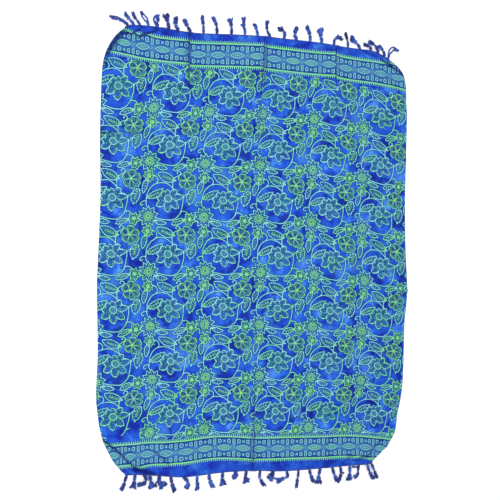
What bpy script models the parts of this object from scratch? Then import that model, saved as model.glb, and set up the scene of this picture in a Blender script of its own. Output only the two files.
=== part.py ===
"""A printed rayon sarong laid flat: one length of cloth with a fringe of knotted tassels along each short end.

The long side runs along Y and the width along X. The cloth lies face up on the plane z = 0.
"""

import math

import bmesh
import bpy
import numpy as np

# Driving sizes, in metres
WIDTH = 1.15
LENGTH = 1.558
WALL = 0.0015
SEAM_GAP = 0.0003
END_BLEND = 0.28
INNER_HALF = 0.37

# Grid of the cloth, with three columns along each lengthwise packing fold
ROWS = 45
SIDE_COLUMNS = 6
INNER_COLUMNS = 15
NARROWEST = 0.007
FOLD_LINES = (-0.274, -0.006, 0.280)
FOLD_STEP = 0.014

# Fringe
STRIP_WIDTH = 0.0032
STRIP_WALL = 0.0014
STRIP_SPAN = {1: (-0.503, 0.498), -1: (-0.468, 0.452)}
ROOT_DEPTH = 0.0011
ROOT_HALF_WIDTH = 0.0016
ROOT_HALF_HEIGHT = 0.0004
TALLEST_HALF = 0.0042
FLOOR_CLEARANCE = 0.0006

# Each corner is turned under, so it shows as a quarter of a superellipse.
# end: +1 far, -1 near. side: +1 right, -1 left. across and along: how far it reaches. power: its fullness
CORNERS = (
    {"end": 1, "side": -1, "across": 0.100, "along": 0.20, "power": 1.80},
    {"end": 1, "side": 1, "across": 0.180, "along": 0.14, "power": 2.00},
    {"end": -1, "side": -1, "across": 0.105, "along": 0.26, "power": 1.50},
    {"end": -1, "side": 1, "across": 0.145, "along": 0.33, "power": 1.85},
)

# How far each selvedge wanders out from the straight, by the place along the length
SIDE_SWAY = {
    "y": (-0.78, -0.50, -0.36, -0.26, -0.13, 0.00, 0.20, 0.38, 0.55, 0.78),
    "left": (-0.003, -0.003, -0.006, -0.003, 0.002, 0.000, -0.002, 0.004, 0.004, 0.003),
    "right": (0.001, 0.000, 0.000, 0.001, 0.011, 0.003, -0.003, -0.002, -0.001, 0.000),
}

# How far each cut end wanders out from the straight, by the place across the width
END_SWAY = {
    "x": (-0.50, -0.39, -0.275, -0.11, 0.00, 0.08, 0.22, 0.33, 0.46),
    "far": (-0.003, -0.001, -0.008, 0.001, 0.006, 0.005, 0.004, -0.003, -0.006),
    "near": (-0.013, -0.009, 0.005, -0.004, -0.003, 0.003, 0.002, -0.002, -0.005),
}

# Soft ridges that packing and the turned corners leave in the cloth.
# Each runs from x0, y0 with height h0 to x1, y1 with height h1, and half is half its width at the foot.
CREASE_COLUMNS = ("x0", "y0", "h0", "x1", "y1", "h1", "half")
CREASES = (
    (0.000, 0.800, 0.0060, -0.004, 0.590, 0.0040, 0.018),
    (-0.004, 0.590, 0.0040, -0.018, 0.330, 0.0015, 0.016),
    (-0.012, -0.800, 0.0055, -0.010, -0.540, 0.0035, 0.018),
    (-0.010, -0.540, 0.0035, -0.014, -0.250, 0.0012, 0.016),
    (-0.275, 0.800, 0.0045, -0.272, 0.560, 0.0015, 0.017),
    (0.279, 0.800, 0.0050, 0.283, 0.540, 0.0015, 0.018),
    (0.270, -0.800, 0.0030, 0.280, -0.640, 0.0012, 0.016),
    (-0.590, 0.395, 0.0045, -0.440, 0.404, 0.0012, 0.015),
    (-0.505, 0.715, 0.0055, -0.370, 0.790, 0.0050, 0.017),
    (-0.470, 0.690, 0.0035, -0.340, 0.745, 0.0020, 0.015),
    (0.430, 0.765, 0.0060, 0.556, 0.680, 0.0050, 0.018),
    (0.470, 0.690, 0.0025, 0.560, 0.610, 0.0025, 0.016),
    (-0.556, -0.640, 0.0060, -0.440, -0.735, 0.0050, 0.019),
    (-0.440, -0.735, 0.0050, -0.330, -0.790, 0.0030, 0.016),
    (0.330, -0.700, 0.0025, 0.440, -0.780, 0.0045, 0.016),
    (0.420, -0.640, 0.0020, 0.520, -0.720, 0.0050, 0.016),
    (0.600, -0.130, 0.0040, 0.510, -0.150, 0.0012, 0.016),
    (0.600, 0.360, 0.0030, 0.520, 0.375, 0.0010, 0.015),
)

# One row for each tassel, in mm: how wide it is, then the points that it lies through, from its root to its tip.
FAR_TASSELS = (
    (10.7, (-490, 775), (-514, 790), (-536, 796), (-553, 797)),
    (10.0, (-471, 779), (-486, 795), (-506, 815)),
    (8.6, (-449, 777), (-462, 795), (-473, 809), (-478, 823)),
    (9.3, (-421, 774), (-426, 793), (-441, 813), (-449, 827)),
    (12.2, (-388, 779), (-394, 789), (-397, 803), (-392, 821)),
    (12.2, (-350, 781), (-355, 798), (-363, 827)),
    (12.5, (-315, 778), (-326, 790), (-327, 821)),
    (11.8, (-273, 778), (-284, 790), (-297, 817)),
    (10.0, (-226, 776), (-228, 805), (-234, 835)),
    (10.7, (-177, 781), (-181, 810), (-194, 836)),
    (10.7, (-124, 782), (-125, 807), (-131, 837)),
    (10.0, (-73, 782), (-76, 808), (-85, 847)),
    (10.7, (-25, 787), (-31, 808), (-40, 828)),
    (9.3, (24, 786), (10, 807), (7, 844)),
    (12.2, (74, 784), (74, 811), (66, 818), (52, 817)),
    (12.2, (125, 782), (115, 802), (123, 834)),
    (11.5, (176, 781), (173, 813), (160, 839)),
    (12.9, (221, 783), (218, 807), (212, 837)),
    (10.0, (270, 780), (270, 796), (281, 810), (301, 813)),
    (9.3, (327, 781), (323, 807), (314, 832)),
    (11.5, (377, 774), (364, 794), (336, 815)),
    (10.0, (420, 771), (413, 789), (390, 795)),
    (11.5, (450, 770), (442, 788), (427, 802), (409, 806)),
    (10.0, (477, 759), (469, 780), (460, 791), (450, 797)),
    (10.0, (492, 752), (497, 776), (510, 791), (532, 786)),
)
NEAR_TASSELS = (
    (10.7, (-461, -765), (-467, -786), (-473, -807), (-480, -819)),
    (11.5, (-433, -767), (-435, -788), (-440, -815)),
    (11.5, (-405, -768), (-395, -785), (-402, -800), (-424, -804)),
    (12.9, (-384, -771), (-380, -791), (-373, -817)),
    (12.9, (-349, -782), (-350, -796), (-335, -817)),
    (11.5, (-310, -786), (-304, -808), (-295, -834)),
    (12.2, (-266, -787), (-251, -800), (-248, -813), (-255, -826)),
    (10.7, (-216, -787), (-216, -804), (-211, -833)),
    (11.8, (-174, -782), (-171, -802), (-158, -827)),
    (12.2, (-124, -780), (-126, -800), (-122, -822)),
    (12.9, (-79, -781), (-75, -792), (-90, -797)),
    (11.5, (-37, -781), (-41, -800), (-37, -819)),
    (10.0, (14, -781), (12, -801), (31, -833)),
    (12.9, (59, -784), (61, -798), (47, -812)),
    (10.7, (113, -784), (117, -804), (98, -812), (76, -819)),
    (9.3, (159, -782), (157, -807), (152, -847)),
    (10.7, (200, -782), (207, -805), (219, -832)),
    (12.2, (244, -780), (238, -807), (237, -837)),
    (11.5, (290, -780), (298, -805), (312, -836)),
    (10.0, (322, -777), (325, -802), (320, -833)),
    (11.5, (360, -776), (360, -804), (358, -831)),
    (9.3, (397, -771), (394, -792), (389, -818), (380, -824)),
    (10.7, (428, -771), (436, -799), (457, -832)),
    (9.3, (445, -769), (456, -795), (471, -828)),
)

# A tassel's section along its length: part of the way, and half width and half height against its widest.
TASSEL_SECTIONS = (
    {"way": 0.12, "half": 0.75},
    {"way": 0.34, "half": 0.90},
    {"way": 0.58, "half": 1.00},
    {"way": 0.82, "half": 1.00},
    {"way": 1.00, "half": 0.70},
)


def clear_scene():
    """Removes every object that the file opened with."""
    for thing in list(bpy.data.objects):
        bpy.data.objects.remove(thing, do_unlink=True)


def make_material(name, colour, roughness):
    """A Principled material with one colour and roughness."""
    material = bpy.data.materials.new(name)
    material.use_nodes = True
    shader = material.node_tree.nodes["Principled BSDF"]
    shader.inputs["Base Color"].default_value = (*colour, 1.0)
    shader.inputs["Roughness"].default_value = roughness
    shader.inputs["Metallic"].default_value = 0.0
    material.diffuse_color = (*colour, 1.0)
    return material


def smooth_step(t):
    """0 below 0, 1 above 1, and a level-ended cubic between."""
    t = np.clip(t, 0.0, 1.0)
    return t * t * (3.0 - 2.0 * t)


def through(at, knots, values):
    """A cubic through the knots, level beyond both ends, with slopes from each knot's neighbours."""
    knots = np.asarray(knots)
    values = np.asarray(values)
    at = np.clip(at, knots[0], knots[-1])
    slopes = np.gradient(values, knots)
    left = np.clip(np.searchsorted(knots, at, side="right") - 1, 0, len(knots) - 2)
    span = knots[left + 1] - knots[left]
    t = (at - knots[left]) / span
    start = values[left] * (1 + 2 * t) * (1 - t) ** 2 + slopes[left] * span * t * (1 - t) ** 2
    finish = values[left + 1] * t * t * (3 - 2 * t) + slopes[left + 1] * span * t * t * (t - 1)
    return start + finish


def corner_inset(y, side):
    """How far a corner draws the selvedge in, at height y before the end's own sway."""
    inset = np.zeros_like(y)
    for corner in CORNERS:
        if corner["side"] != side:
            continue
        depth = LENGTH / 2 - corner["end"] * y
        rise = np.clip(1.0 - depth / corner["along"], 0.0, 1.0)
        reach = (1.0 - rise ** corner["power"]) ** (1.0 / corner["power"])
        inset = inset + corner["across"] * (1.0 - reach)
    return inset


def selvedge(y, side):
    """The x of one long side."""
    sway = through(y, SIDE_SWAY["y"], SIDE_SWAY["right" if side > 0 else "left"])
    return side * (WIDTH / 2 + sway - corner_inset(y, side))


def sway_ends(x, y):
    """Moves points near a cut end out or in by that end's sway, faded out over END_BLEND."""
    far = through(x, END_SWAY["x"], END_SWAY["far"])
    near = through(x, END_SWAY["x"], END_SWAY["near"])
    far_weight = smooth_step(1.0 - (LENGTH / 2 - y) / END_BLEND)
    near_weight = smooth_step(1.0 - (LENGTH / 2 + y) / END_BLEND)
    return y + far * far_weight - near * near_weight


def lift(x, y):
    """The height of the creases: at each point the highest of the ridges, each a soft hump along its line."""
    height = np.zeros_like(x)
    for row in CREASES:
        crease = dict(zip(CREASE_COLUMNS, row))
        run_x = crease["x1"] - crease["x0"]
        run_y = crease["y1"] - crease["y0"]
        part = ((x - crease["x0"]) * run_x + (y - crease["y0"]) * run_y) / (run_x**2 + run_y**2)
        part = np.clip(part, 0.0, 1.0)
        off = np.hypot(x - crease["x0"] - part * run_x, y - crease["y0"] - part * run_y)
        hump = np.clip(1.0 - (off / crease["half"]) ** 2, 0.0, None) ** 2
        height = np.maximum(height, hump * (crease["h0"] + part * (crease["h1"] - crease["h0"])))
    return height


def grid_lines():
    """The places of the rows, closer towards the ends, and of the inner columns, closer at the folds."""
    turn = np.linspace(-math.pi / 2, math.pi / 2, ROWS)
    rows = np.sin(turn) * LENGTH / 2
    at_folds = [fold + step for fold in FOLD_LINES for step in (-FOLD_STEP, 0.0, FOLD_STEP)]
    even = np.linspace(-INNER_HALF, INNER_HALF, INNER_COLUMNS)
    even = [x for x in even if min(abs(x - line) for line in at_folds) > NARROWEST]
    return rows, np.array(sorted(even + at_folds))


def cloth_points():
    """The grid of the cloth in plan: rows from the near end to the far end, columns from left to right."""
    rows, inner = grid_lines()
    left = selvedge(rows, -1)[:, None]
    right = selvedge(rows, 1)[:, None]
    share = np.linspace(0.0, 1.0, SIDE_COLUMNS + 1)[:-1]
    left_part = left + (inner[0] - left) * share
    right_part = right + (inner[-1] - right) * share[::-1]
    middle = np.broadcast_to(inner, (len(rows), len(inner)))
    x = np.concatenate([left_part, middle, right_part], axis=1)
    y = sway_ends(x, np.broadcast_to(rows[:, None], x.shape))
    return x, y


def walled_grid(name, x, y, low, high):
    """A closed wall over a grid: an upper and a lower sheet of the same points, joined round the rim."""
    count_v, count_u = x.shape
    index = np.arange(count_v * count_u).reshape(x.shape)
    upper = np.stack([x, y, high], axis=-1).reshape(-1, 3)
    lower = np.stack([x, y, low], axis=-1).reshape(-1, 3)
    cell = np.stack([index[:-1, :-1], index[:-1, 1:], index[1:, 1:], index[1:, :-1]], axis=-1)
    cell = cell.reshape(-1, 4)
    rim = np.concatenate([index[0, :-1], index[:-1, -1], index[-1, :0:-1], index[:0:-1, 0]])
    following = np.roll(rim, -1)
    below = count_v * count_u
    side = np.stack([rim, rim + below, following + below, following], axis=-1)
    faces = np.concatenate([cell, cell[:, ::-1] + below, side])
    mesh = bpy.data.meshes.new(name)
    mesh.from_pydata(np.concatenate([upper, lower]).tolist(), [], faces.tolist())
    mesh.update()
    thing = bpy.data.objects.new(name, mesh)
    bpy.context.scene.collection.objects.link(thing)
    return thing


def make_cloth(material):
    """The length of cloth, a wall of even height that lifts off the plane only along its creases."""
    x, y = cloth_points()
    low = lift(x, y)
    cloth = walled_grid("cloth", x, y, low, low + WALL)
    cloth.data.materials.append(material)
    return cloth


def end_line(end, first, last):
    """The cloth's own rim along one end, from left to right, with both corners' turns, cut off at two x."""
    x, y = cloth_points()
    if end < 0:
        x = x[::-1]
        y = y[::-1]
    line_x = np.concatenate([x[:-1, 0], x[-1], x[-2::-1, -1]])
    line_y = np.concatenate([y[:-1, 0], y[-1], y[-2::-1, -1]])
    near_end = end * line_y > LENGTH / 2 - END_BLEND / 2
    line_x = line_x[near_end]
    line_y = line_y[near_end]
    inner = (line_x > first) & (line_x < last)
    cut_y = np.interp([first, last], line_x, line_y)
    cut_x = np.concatenate([[first], line_x[inner], [last]])
    return cut_x, np.concatenate([cut_y[:1], line_y[inner], cut_y[1:]])


def outward(line_x, line_y, end):
    """The level normals of a line that runs from left to right, on the side away from the cloth."""
    run_x = np.gradient(line_x)
    run_y = np.gradient(line_y)
    length = np.hypot(run_x, run_y)
    return -end * run_y / length, end * run_x / length


def make_strip(end):
    """The edge strip of one fringe: a flat ribbon that follows the cloth's rim at the seam gap."""
    line_x, line_y = end_line(end, *STRIP_SPAN[end])
    normal_x, normal_y = outward(line_x, line_y, end)
    across = np.array([SEAM_GAP, SEAM_GAP + STRIP_WIDTH])[:, None]
    x = line_x + across * normal_x
    y = line_y + across * normal_y
    if end < 0:
        x = x[::-1]
        y = y[::-1]
    low = np.broadcast_to(lift(line_x, line_y), x.shape)
    return walled_grid("strip", x, y, low, low + STRIP_WALL)


def tassel_rings(row, end):
    """The centre line and half sizes of one tassel, root first, in metres."""
    widest = row[0] / 2000
    points = np.array(row[1:]) / 1000
    root_x = points[0, 0]
    line_x, line_y = end_line(end, *STRIP_SPAN[end])
    normal_x, normal_y = outward(line_x, line_y, end)
    edge_y = np.interp(root_x, line_x, line_y)
    out_x = np.interp(root_x, line_x, normal_x)
    out_y = np.interp(root_x, line_x, normal_y)
    seat = SEAM_GAP + ROOT_DEPTH
    height = float(lift(np.array([root_x]), np.array([edge_y]))[0])
    points[0] = (root_x + seat * out_x, edge_y + seat * out_y)
    rings = [(np.array([*points[0], height + STRIP_WALL / 2]), ROOT_HALF_WIDTH, ROOT_HALF_HEIGHT)]
    steps = np.hypot(*np.diff(points, axis=0).T)
    gone = np.concatenate([[0.0], np.cumsum(steps)]) / steps.sum()
    for section in TASSEL_SECTIONS:
        way = section["way"]
        wide = widest * section["half"]
        tall = min(wide, TALLEST_HALF * section["half"])
        lying = tall + FLOOR_CLEARANCE + height * (1.0 - way)
        place = (through(way, gone, points[:, 0]), through(way, gone, points[:, 1]), lying)
        rings.append((np.array(place), wide, tall))
    return rings


def add_tassel(mesh, rings):
    """Adds one closed strand with four sides to a bmesh: a ring of corners round each point of its line."""
    centres = np.array([ring[0] for ring in rings])
    along = np.gradient(centres[:, :2], axis=0)
    along /= np.linalg.norm(along, axis=1, keepdims=True)
    loops = []
    for (centre, half_width, half_height), run in zip(rings, along):
        across = np.array([run[1], -run[0], 0.0]) * half_width
        up = np.array([0.0, 0.0, half_height])
        corners = (centre + across, centre + up, centre - across, centre - up)
        loops.append([mesh.verts.new(corner) for corner in corners])
    for first, second in zip(loops, loops[1:]):
        for side in range(4):
            other = (side + 1) % 4
            mesh.faces.new((first[side], second[side], second[other], first[other]))
    mesh.faces.new(loops[0])
    mesh.faces.new(loops[-1][::-1])


def make_tassels(rows, end):
    """All tassels of one end as one mesh of separate strands."""
    mesh = bmesh.new()
    for row in rows:
        add_tassel(mesh, tassel_rings(row, end))
    bmesh.ops.recalc_face_normals(mesh, faces=mesh.faces)
    data = bpy.data.meshes.new("tassels")
    mesh.to_mesh(data)
    mesh.free()
    thing = bpy.data.objects.new("tassels", data)
    bpy.context.scene.collection.objects.link(thing)
    return thing


def make_fringe(name, rows, end, material):
    """One end's fringe: its tassels fused by their roots into the edge strip."""
    fringe = make_strip(end)
    fringe.name = name
    fringe.data.name = name
    tassels = make_tassels(rows, end)
    tassels.hide_render = True
    tassels.display_type = "WIRE"
    union = fringe.modifiers.new("fuse tassels", "BOOLEAN")
    union.operation = "UNION"
    union.object = tassels
    union.use_self = True
    fringe.data.materials.append(material)
    tassels.data.materials.append(material)
    return fringe


def centre_on_origin(things):
    """Moves every mesh so that the whole object's box is centred on the origin in plan."""
    corners = []
    for thing in things:
        points = np.empty(len(thing.data.vertices) * 3)
        thing.data.vertices.foreach_get("co", points)
        corners.append(points.reshape(-1, 3)[:, :2])
    points = np.concatenate(corners)
    middle = (points.min(axis=0) + points.max(axis=0)) / 2
    for thing in things:
        thing.location = (-middle[0], -middle[1], 0.0)


def main():
    clear_scene()
    printed = make_material("printed_rayon", (0.055, 0.17, 0.62), 0.75)
    thread = make_material("fringe_thread", (0.02, 0.05, 0.36), 0.8)
    make_cloth(printed)
    make_fringe("fringe_top", FAR_TASSELS, 1, thread)
    make_fringe("fringe_bottom", NEAR_TASSELS, -1, thread)
    centre_on_origin([thing for thing in bpy.data.objects if thing.type == "MESH"])


main()
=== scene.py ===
"""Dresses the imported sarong: printed rayon cloth with its packing folds, and two knotted fringes.

Every shape is worked out in the cloth's own frame, with the middle of the cloth at x = y = 0, and is then
moved by the same small step that centres the whole object in the row frame.
"""

import math
import bpy
import numpy as np
from mathutils import Matrix, Vector


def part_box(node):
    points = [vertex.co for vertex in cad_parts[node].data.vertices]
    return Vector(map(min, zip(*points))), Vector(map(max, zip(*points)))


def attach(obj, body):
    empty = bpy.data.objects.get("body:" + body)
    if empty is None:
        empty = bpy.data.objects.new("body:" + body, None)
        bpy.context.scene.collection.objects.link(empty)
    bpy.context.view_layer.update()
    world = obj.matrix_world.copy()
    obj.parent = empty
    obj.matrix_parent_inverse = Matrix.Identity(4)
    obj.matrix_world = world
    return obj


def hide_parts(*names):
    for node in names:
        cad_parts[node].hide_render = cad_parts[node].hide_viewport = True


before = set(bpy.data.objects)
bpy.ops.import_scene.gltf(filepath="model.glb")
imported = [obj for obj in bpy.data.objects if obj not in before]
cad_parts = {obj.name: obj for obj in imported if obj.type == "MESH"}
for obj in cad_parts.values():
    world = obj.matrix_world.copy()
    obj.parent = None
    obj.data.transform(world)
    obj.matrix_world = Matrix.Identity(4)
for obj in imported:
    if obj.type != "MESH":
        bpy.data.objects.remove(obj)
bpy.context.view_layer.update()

# The cloth's driving sizes in metres, as in the CAD. The two long sides sway a few mm more near the corners.
WIDTH = 1.15
LENGTH = 1.558
END_BLEND = 0.28
SEAM_GAP = 0.0003
STRIP_SPAN = {1: (-0.503, 0.498), -1: (-0.468, 0.452)}
CLOTH_WALL = 0.0009

CORNERS = (
    {"end": 1, "side": -1, "across": 0.100, "along": 0.20, "power": 1.80},
    {"end": 1, "side": 1, "across": 0.180, "along": 0.14, "power": 2.00},
    {"end": -1, "side": -1, "across": 0.105, "along": 0.26, "power": 1.50},
    {"end": -1, "side": 1, "across": 0.145, "along": 0.33, "power": 1.85},
)
SIDE_SWAY = {
    "y": (-0.780, -0.755, -0.725, -0.695, -0.667, -0.638, -0.608, -0.578, -0.540, -0.500,
          -0.360, -0.260, -0.130, 0.000, 0.200, 0.380, 0.550, 0.600, 0.640, 0.680, 0.730, 0.770),
    "left": (-0.007, -0.006, -0.003, -0.003, -0.001, -0.002, -0.003, -0.005, -0.006, -0.004,
             -0.006, -0.003, 0.002, 0.000, -0.002, 0.004, 0.004, 0.004, 0.007, 0.008, 0.006, 0.002),
    "right": (-0.002, -0.007, 0.000, 0.006, 0.008, 0.003, -0.003, -0.005, -0.004, -0.003,
              0.000, 0.001, 0.011, 0.003, -0.003, -0.002, -0.001, -0.004, -0.005, -0.004, 0.000, -0.003),
}
END_SWAY = {
    "x": (-0.50, -0.39, -0.275, -0.11, 0.00, 0.08, 0.22, 0.33, 0.46),
    "far": (-0.003, -0.001, -0.008, 0.001, 0.006, 0.005, 0.004, -0.003, -0.006),
    "near": (-0.013, -0.009, 0.005, -0.004, -0.003, 0.003, 0.002, -0.002, -0.005),
}

# The cloth's grid: four blocks of columns between the two selvedges and the three lengthwise packing folds
BLOCK_COLUMNS = 48
ROWS = 250
FOLD_CROWDING = 0.72
END_CROWDING = 0.15

# Where each packing fold runs: y, then x of the left, middle and right fold
FOLDS = {
    "y": (-0.80, -0.53, -0.25, 0.00, 0.33, 0.55, 0.66, 0.80),
    "x": (
        (-0.272, -0.272, -0.272, -0.272, -0.272, -0.272, -0.275, -0.276),
        (-0.014, -0.010, -0.014, -0.017, -0.017, -0.008, -0.003, 0.000),
        (0.270, 0.276, 0.280, 0.282, 0.283, 0.282, 0.281, 0.279),
    ),
}

# Soft ridges, the CAD's and finer ones: from x0, y0 with height h0 to x1, y1 with height h1. half is half
# the width, and lean moves the ridge's sharp edge to one side of its middle.
CREASE_COLUMNS = ("x0", "y0", "h0", "x1", "y1", "h1", "half", "lean")
CREASES = (
    (0.000, 0.800, 0.0050, -0.003, 0.660, 0.0040, 0.018, -0.5),
    (-0.003, 0.660, 0.0040, -0.008, 0.550, 0.0034, 0.016, -0.5),
    (-0.008, 0.550, 0.0034, -0.017, 0.330, 0.0012, 0.016, -0.5),
    (-0.014, -0.800, 0.0046, -0.010, -0.540, 0.0028, 0.018, 0.5),
    (-0.010, -0.540, 0.0028, -0.014, -0.250, 0.0009, 0.016, 0.5),
    (-0.276, 0.800, 0.0040, -0.275, 0.660, 0.0030, 0.017, -0.5),
    (-0.275, 0.660, 0.0030, -0.272, 0.560, 0.0010, 0.017, -0.5),
    (0.279, 0.800, 0.0044, 0.281, 0.660, 0.0030, 0.018, -0.5),
    (0.281, 0.660, 0.0030, 0.282, 0.560, 0.0010, 0.018, -0.5),
    (0.270, -0.800, 0.0026, 0.276, -0.640, 0.0008, 0.016, 0.5),
    (-0.590, 0.395, 0.0045, -0.440, 0.404, 0.0008, 0.015, 0.5),
    (-0.490, 0.742, 0.0040, -0.436, 0.776, 0.0045, 0.012, 0.5),
    (-0.474, 0.726, 0.0045, -0.414, 0.774, 0.0050, 0.012, 0.5),
    (-0.448, 0.730, 0.0040, -0.392, 0.772, 0.0040, 0.012, 0.5),
    (-0.420, 0.738, 0.0030, -0.366, 0.778, 0.0035, 0.012, 0.5),
    (0.400, 0.780, 0.0040, 0.448, 0.752, 0.0060, 0.018, -0.5),
    (0.448, 0.752, 0.0060, 0.512, 0.722, 0.0060, 0.018, -0.5),
    (0.512, 0.722, 0.0060, 0.560, 0.685, 0.0045, 0.018, -0.5),
    (0.470, 0.690, 0.0025, 0.560, 0.610, 0.0022, 0.016, 0.4),
    (-0.556, -0.640, 0.0060, -0.500, -0.676, 0.0055, 0.017, 0.5),
    (-0.500, -0.676, 0.0055, -0.440, -0.732, 0.0055, 0.017, 0.5),
    (-0.440, -0.732, 0.0055, -0.400, -0.762, 0.0045, 0.017, 0.5),
    (-0.400, -0.762, 0.0045, -0.330, -0.785, 0.0028, 0.016, 0.5),
    (-0.372, -0.690, 0.0025, -0.318, -0.742, 0.0020, 0.012, 0.5),
    (0.330, -0.700, 0.0020, 0.440, -0.780, 0.0045, 0.016, 0.4),
    (0.395, -0.738, 0.0025, 0.440, -0.768, 0.0030, 0.014, 0.4),
    (0.420, -0.640, 0.0016, 0.520, -0.720, 0.0050, 0.016, 0.4),
    (0.600, -0.130, 0.0040, 0.510, -0.150, 0.0008, 0.016, 0.4),
    (0.600, 0.360, 0.0030, 0.520, 0.375, 0.0008, 0.015, 0.4),
)

# Painted shade along the folds and creases, below the edges they lift and where the rim curls down; two wider
# patches at the far right corner paint both shadow and the navy ground where a fold hides the band. Each row:
# how far the dark reaches in mm, how dark it is, and the points that the line runs through in mm
SHADES = (
    (3.0, 0.80, (0, 800), (-3, 660), (-8, 600)),
    (2.8, 0.45, (-8, 600), (-9, 540), (-17, 330)),
    (2.4, 0.28, (-17, 330), (-17, 0), (-14, -250), (-12, -480)),
    (7.0, 0.40, (6, 800), (3, 660), (-2, 600)),
    (3.4, 0.80, (-277, 800), (-276, 700), (-275, 630)),
    (3.0, 0.60, (-275, 630), (-272, 560)),
    (8.0, 0.40, (-284, 780), (-282, 660)),
    (2.8, 0.60, (279, 800), (281, 650)),
    (2.6, 0.40, (281, 650), (282, 560)),
    (3.2, 0.85, (-14, -800), (-11, -640)),
    (7.0, 0.35, (-20, -780), (-17, -640)),
    (2.6, 0.55, (-11, -640), (-12, -480)),
    (2.6, 0.22, (269, -800), (275, -650)),
    (4.0, 1.00, (-590, 397), (-530, 401)),
    (2.8, 0.65, (-530, 401), (-440, 404)),
    (4.0, 1.10, (-517, 760), (-492, 749)),
    (3.8, 1.10, (-483, 744), (-452, 765)),
    (4.4, 1.20, (-455, 737), (-442, 747), (-412, 758)),
    (3.6, 0.95, (-412, 758), (-386, 770)),
    (2.6, 0.60, (-368, 752), (-355, 768)),
    (2.6, 0.60, (-500, 765), (-470, 778)),
    (3.2, 0.70, (386, 771), (432, 758), (459, 747)),
    (3.6, 1.00, (459, 747), (485, 731), (518, 715), (541, 702), (558, 693)),
    (6.5, 0.95, (488, 734), (504, 725)),
    (5.0, 0.80, (520, 716), (552, 700)),
    (3.4, 1.15, (-556, -632), (-545, -644), (-513, -672), (-484, -695)),
    (3.2, 1.05, (-484, -695), (-464, -718), (-434, -744)),
    (8.0, 1.15, (-434, -750), (-405, -758), (-368, -772)),
    (2.8, 0.90, (-368, -692), (-328, -726)),
    (2.6, 0.60, (-328, -726), (-308, -756)),
    (3.0, 0.70, (440, -740), (472, -701), (492, -686)),
    (2.8, 0.55, (327, -770), (364, -748), (380, -738)),
    (5.0, 0.50, (404, -746), (434, -750)),
    (2.6, 0.90, (352, -745), (365, -739)),
    (2.6, 0.90, (402, -752), (413, -743)),
    (3.0, 1.00, (433, -748), (443, -736)),
    (3.0, 0.60, (592, -130), (530, -150)),
    (2.8, 0.50, (590, 362), (530, 375)),
    (2.4, 0.40, (560, 610), (480, 690)),
    (12.0, 0.60, (-574, 640), (-557, 692), (-526, 746)),
    (10.0, 1.10, (-562, 672), (-546, 702), (-526, 734), (-510, 752)),
)

# Places where a slanting crease hides a little of the print: from x0, y0 to x1, y1 in metres, then how far
# the print slips along and outwards across the line, in mm, and how far from the line that fades
SLIPS = (
    (-0.520, 0.762, -0.488, 0.746, 0.0, 9.0, 0.018),
    (-0.482, 0.744, -0.452, 0.765, 0.0, -8.0, 0.018),
    (-0.454, 0.738, -0.412, 0.758, 3.0, -10.0, 0.024),
    (0.492, 0.728, 0.548, 0.699, 0.0, 12.0, 0.030),
    (-0.530, -0.655, -0.464, -0.718, 4.0, 5.0, 0.035),
    (-0.474, -0.709, -0.405, -0.760, 5.0, 14.0, 0.036),
    (-0.372, -0.690, -0.318, -0.742, 2.0, 3.0, 0.025),
    (0.395, -0.738, 0.450, -0.772, -3.0, 9.0, 0.030),
)

# The printed bands. For each end and each block between the folds: knots along the band's middle line, as
# x and distance of the line from the cloth's middle, and the x of every pointed eye, counted from the left.
BANDS = {
    1: (
        {"line": ((-0.56, 0.722), (-0.504, 0.715), (-0.442, 0.707), (-0.372, 0.703), (-0.276, 0.703)),
         "eyes": ((-0.575, -1), (-0.504, 0), (-0.442, 1), (-0.372, 2), (-0.304, 3), (-0.232, 4))},
        {"line": ((-0.276, 0.696), (-0.243, 0.698), (-0.172, 0.703), (-0.100, 0.708), (0.0, 0.714)),
         "eyes": ((-0.315, 3), (-0.243, 4), (-0.172, 5), (-0.100, 6), (-0.026, 7), (0.046, 8))},
        {"line": ((0.0, 0.7095), (0.10, 0.7075), (0.18, 0.7065), (0.28, 0.709)),
         "eyes": ((-0.034, 7), (0.038, 8), (0.112, 9), (0.182, 10), (0.252, 11), (0.324, 12))},
        {"line": ((0.28, 0.7045), (0.32, 0.6995), (0.39, 0.696), (0.44, 0.6945), (0.50, 0.689),
                  (0.58, 0.677)),
         "eyes": ((0.248, 11), (0.320, 12), (0.392, 13), (0.464, 14), (0.532, 15), (0.604, 16))},
    ),
    -1: (
        {"line": ((-0.56, 0.702), (-0.46, 0.703), (-0.40, 0.700), (-0.328, 0.7015), (-0.27, 0.7000)),
         "eyes": ((-0.570, -1), (-0.506, 0), (-0.456, 1), (-0.394, 2), (-0.328, 3), (-0.258, 4))},
        {"line": ((-0.27, 0.700), (-0.24, 0.6975), (-0.20, 0.6925), (-0.14, 0.6895), (-0.08, 0.693),
                  (0.0, 0.701)),
         "eyes": ((-0.326, 3), (-0.256, 4), (-0.190, 5), (-0.120, 6), (-0.050, 7), (0.020, 8))},
        {"line": ((-0.02, 0.6995), (0.04, 0.7015), (0.12, 0.7025), (0.20, 0.7045), (0.28, 0.706)),
         "eyes": ((-0.060, 7), (0.010, 8), (0.080, 9), (0.152, 10), (0.220, 11), (0.290, 12))},
        {"line": ((0.27, 0.705), (0.36, 0.7065), (0.40, 0.710), (0.44, 0.714), (0.48, 0.719), (0.56, 0.734)),
         "eyes": ((0.212, 11), (0.284, 12), (0.356, 13), (0.424, 14), (0.484, 15), (0.552, 16))},
    ),
}

# How far the stamped flowers drift up across the width, and how the print jumps at each fold, in metres:
# the strip that the fold hides and how much higher the print stands right of it, at the far and near end
STAMP_DRIFT = {
    "x": (-0.60, -0.5265, -0.3289, -0.1313, 0.0663, 0.2639, 0.4615, 0.60),
    "up": (-0.001, 0.0, 0.0046, 0.0085, 0.0070, 0.0000, -0.0210, -0.0400),
}
FOLD_JUMPS = {
    1: ((0.011, -0.007), (0.009, -0.006), (0.006, -0.006)),
    -1: ((0.004, 0.000), (0.011, 0.000), (0.007, 0.000)),
}
TILE = (0.1976, 0.1888)

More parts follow.
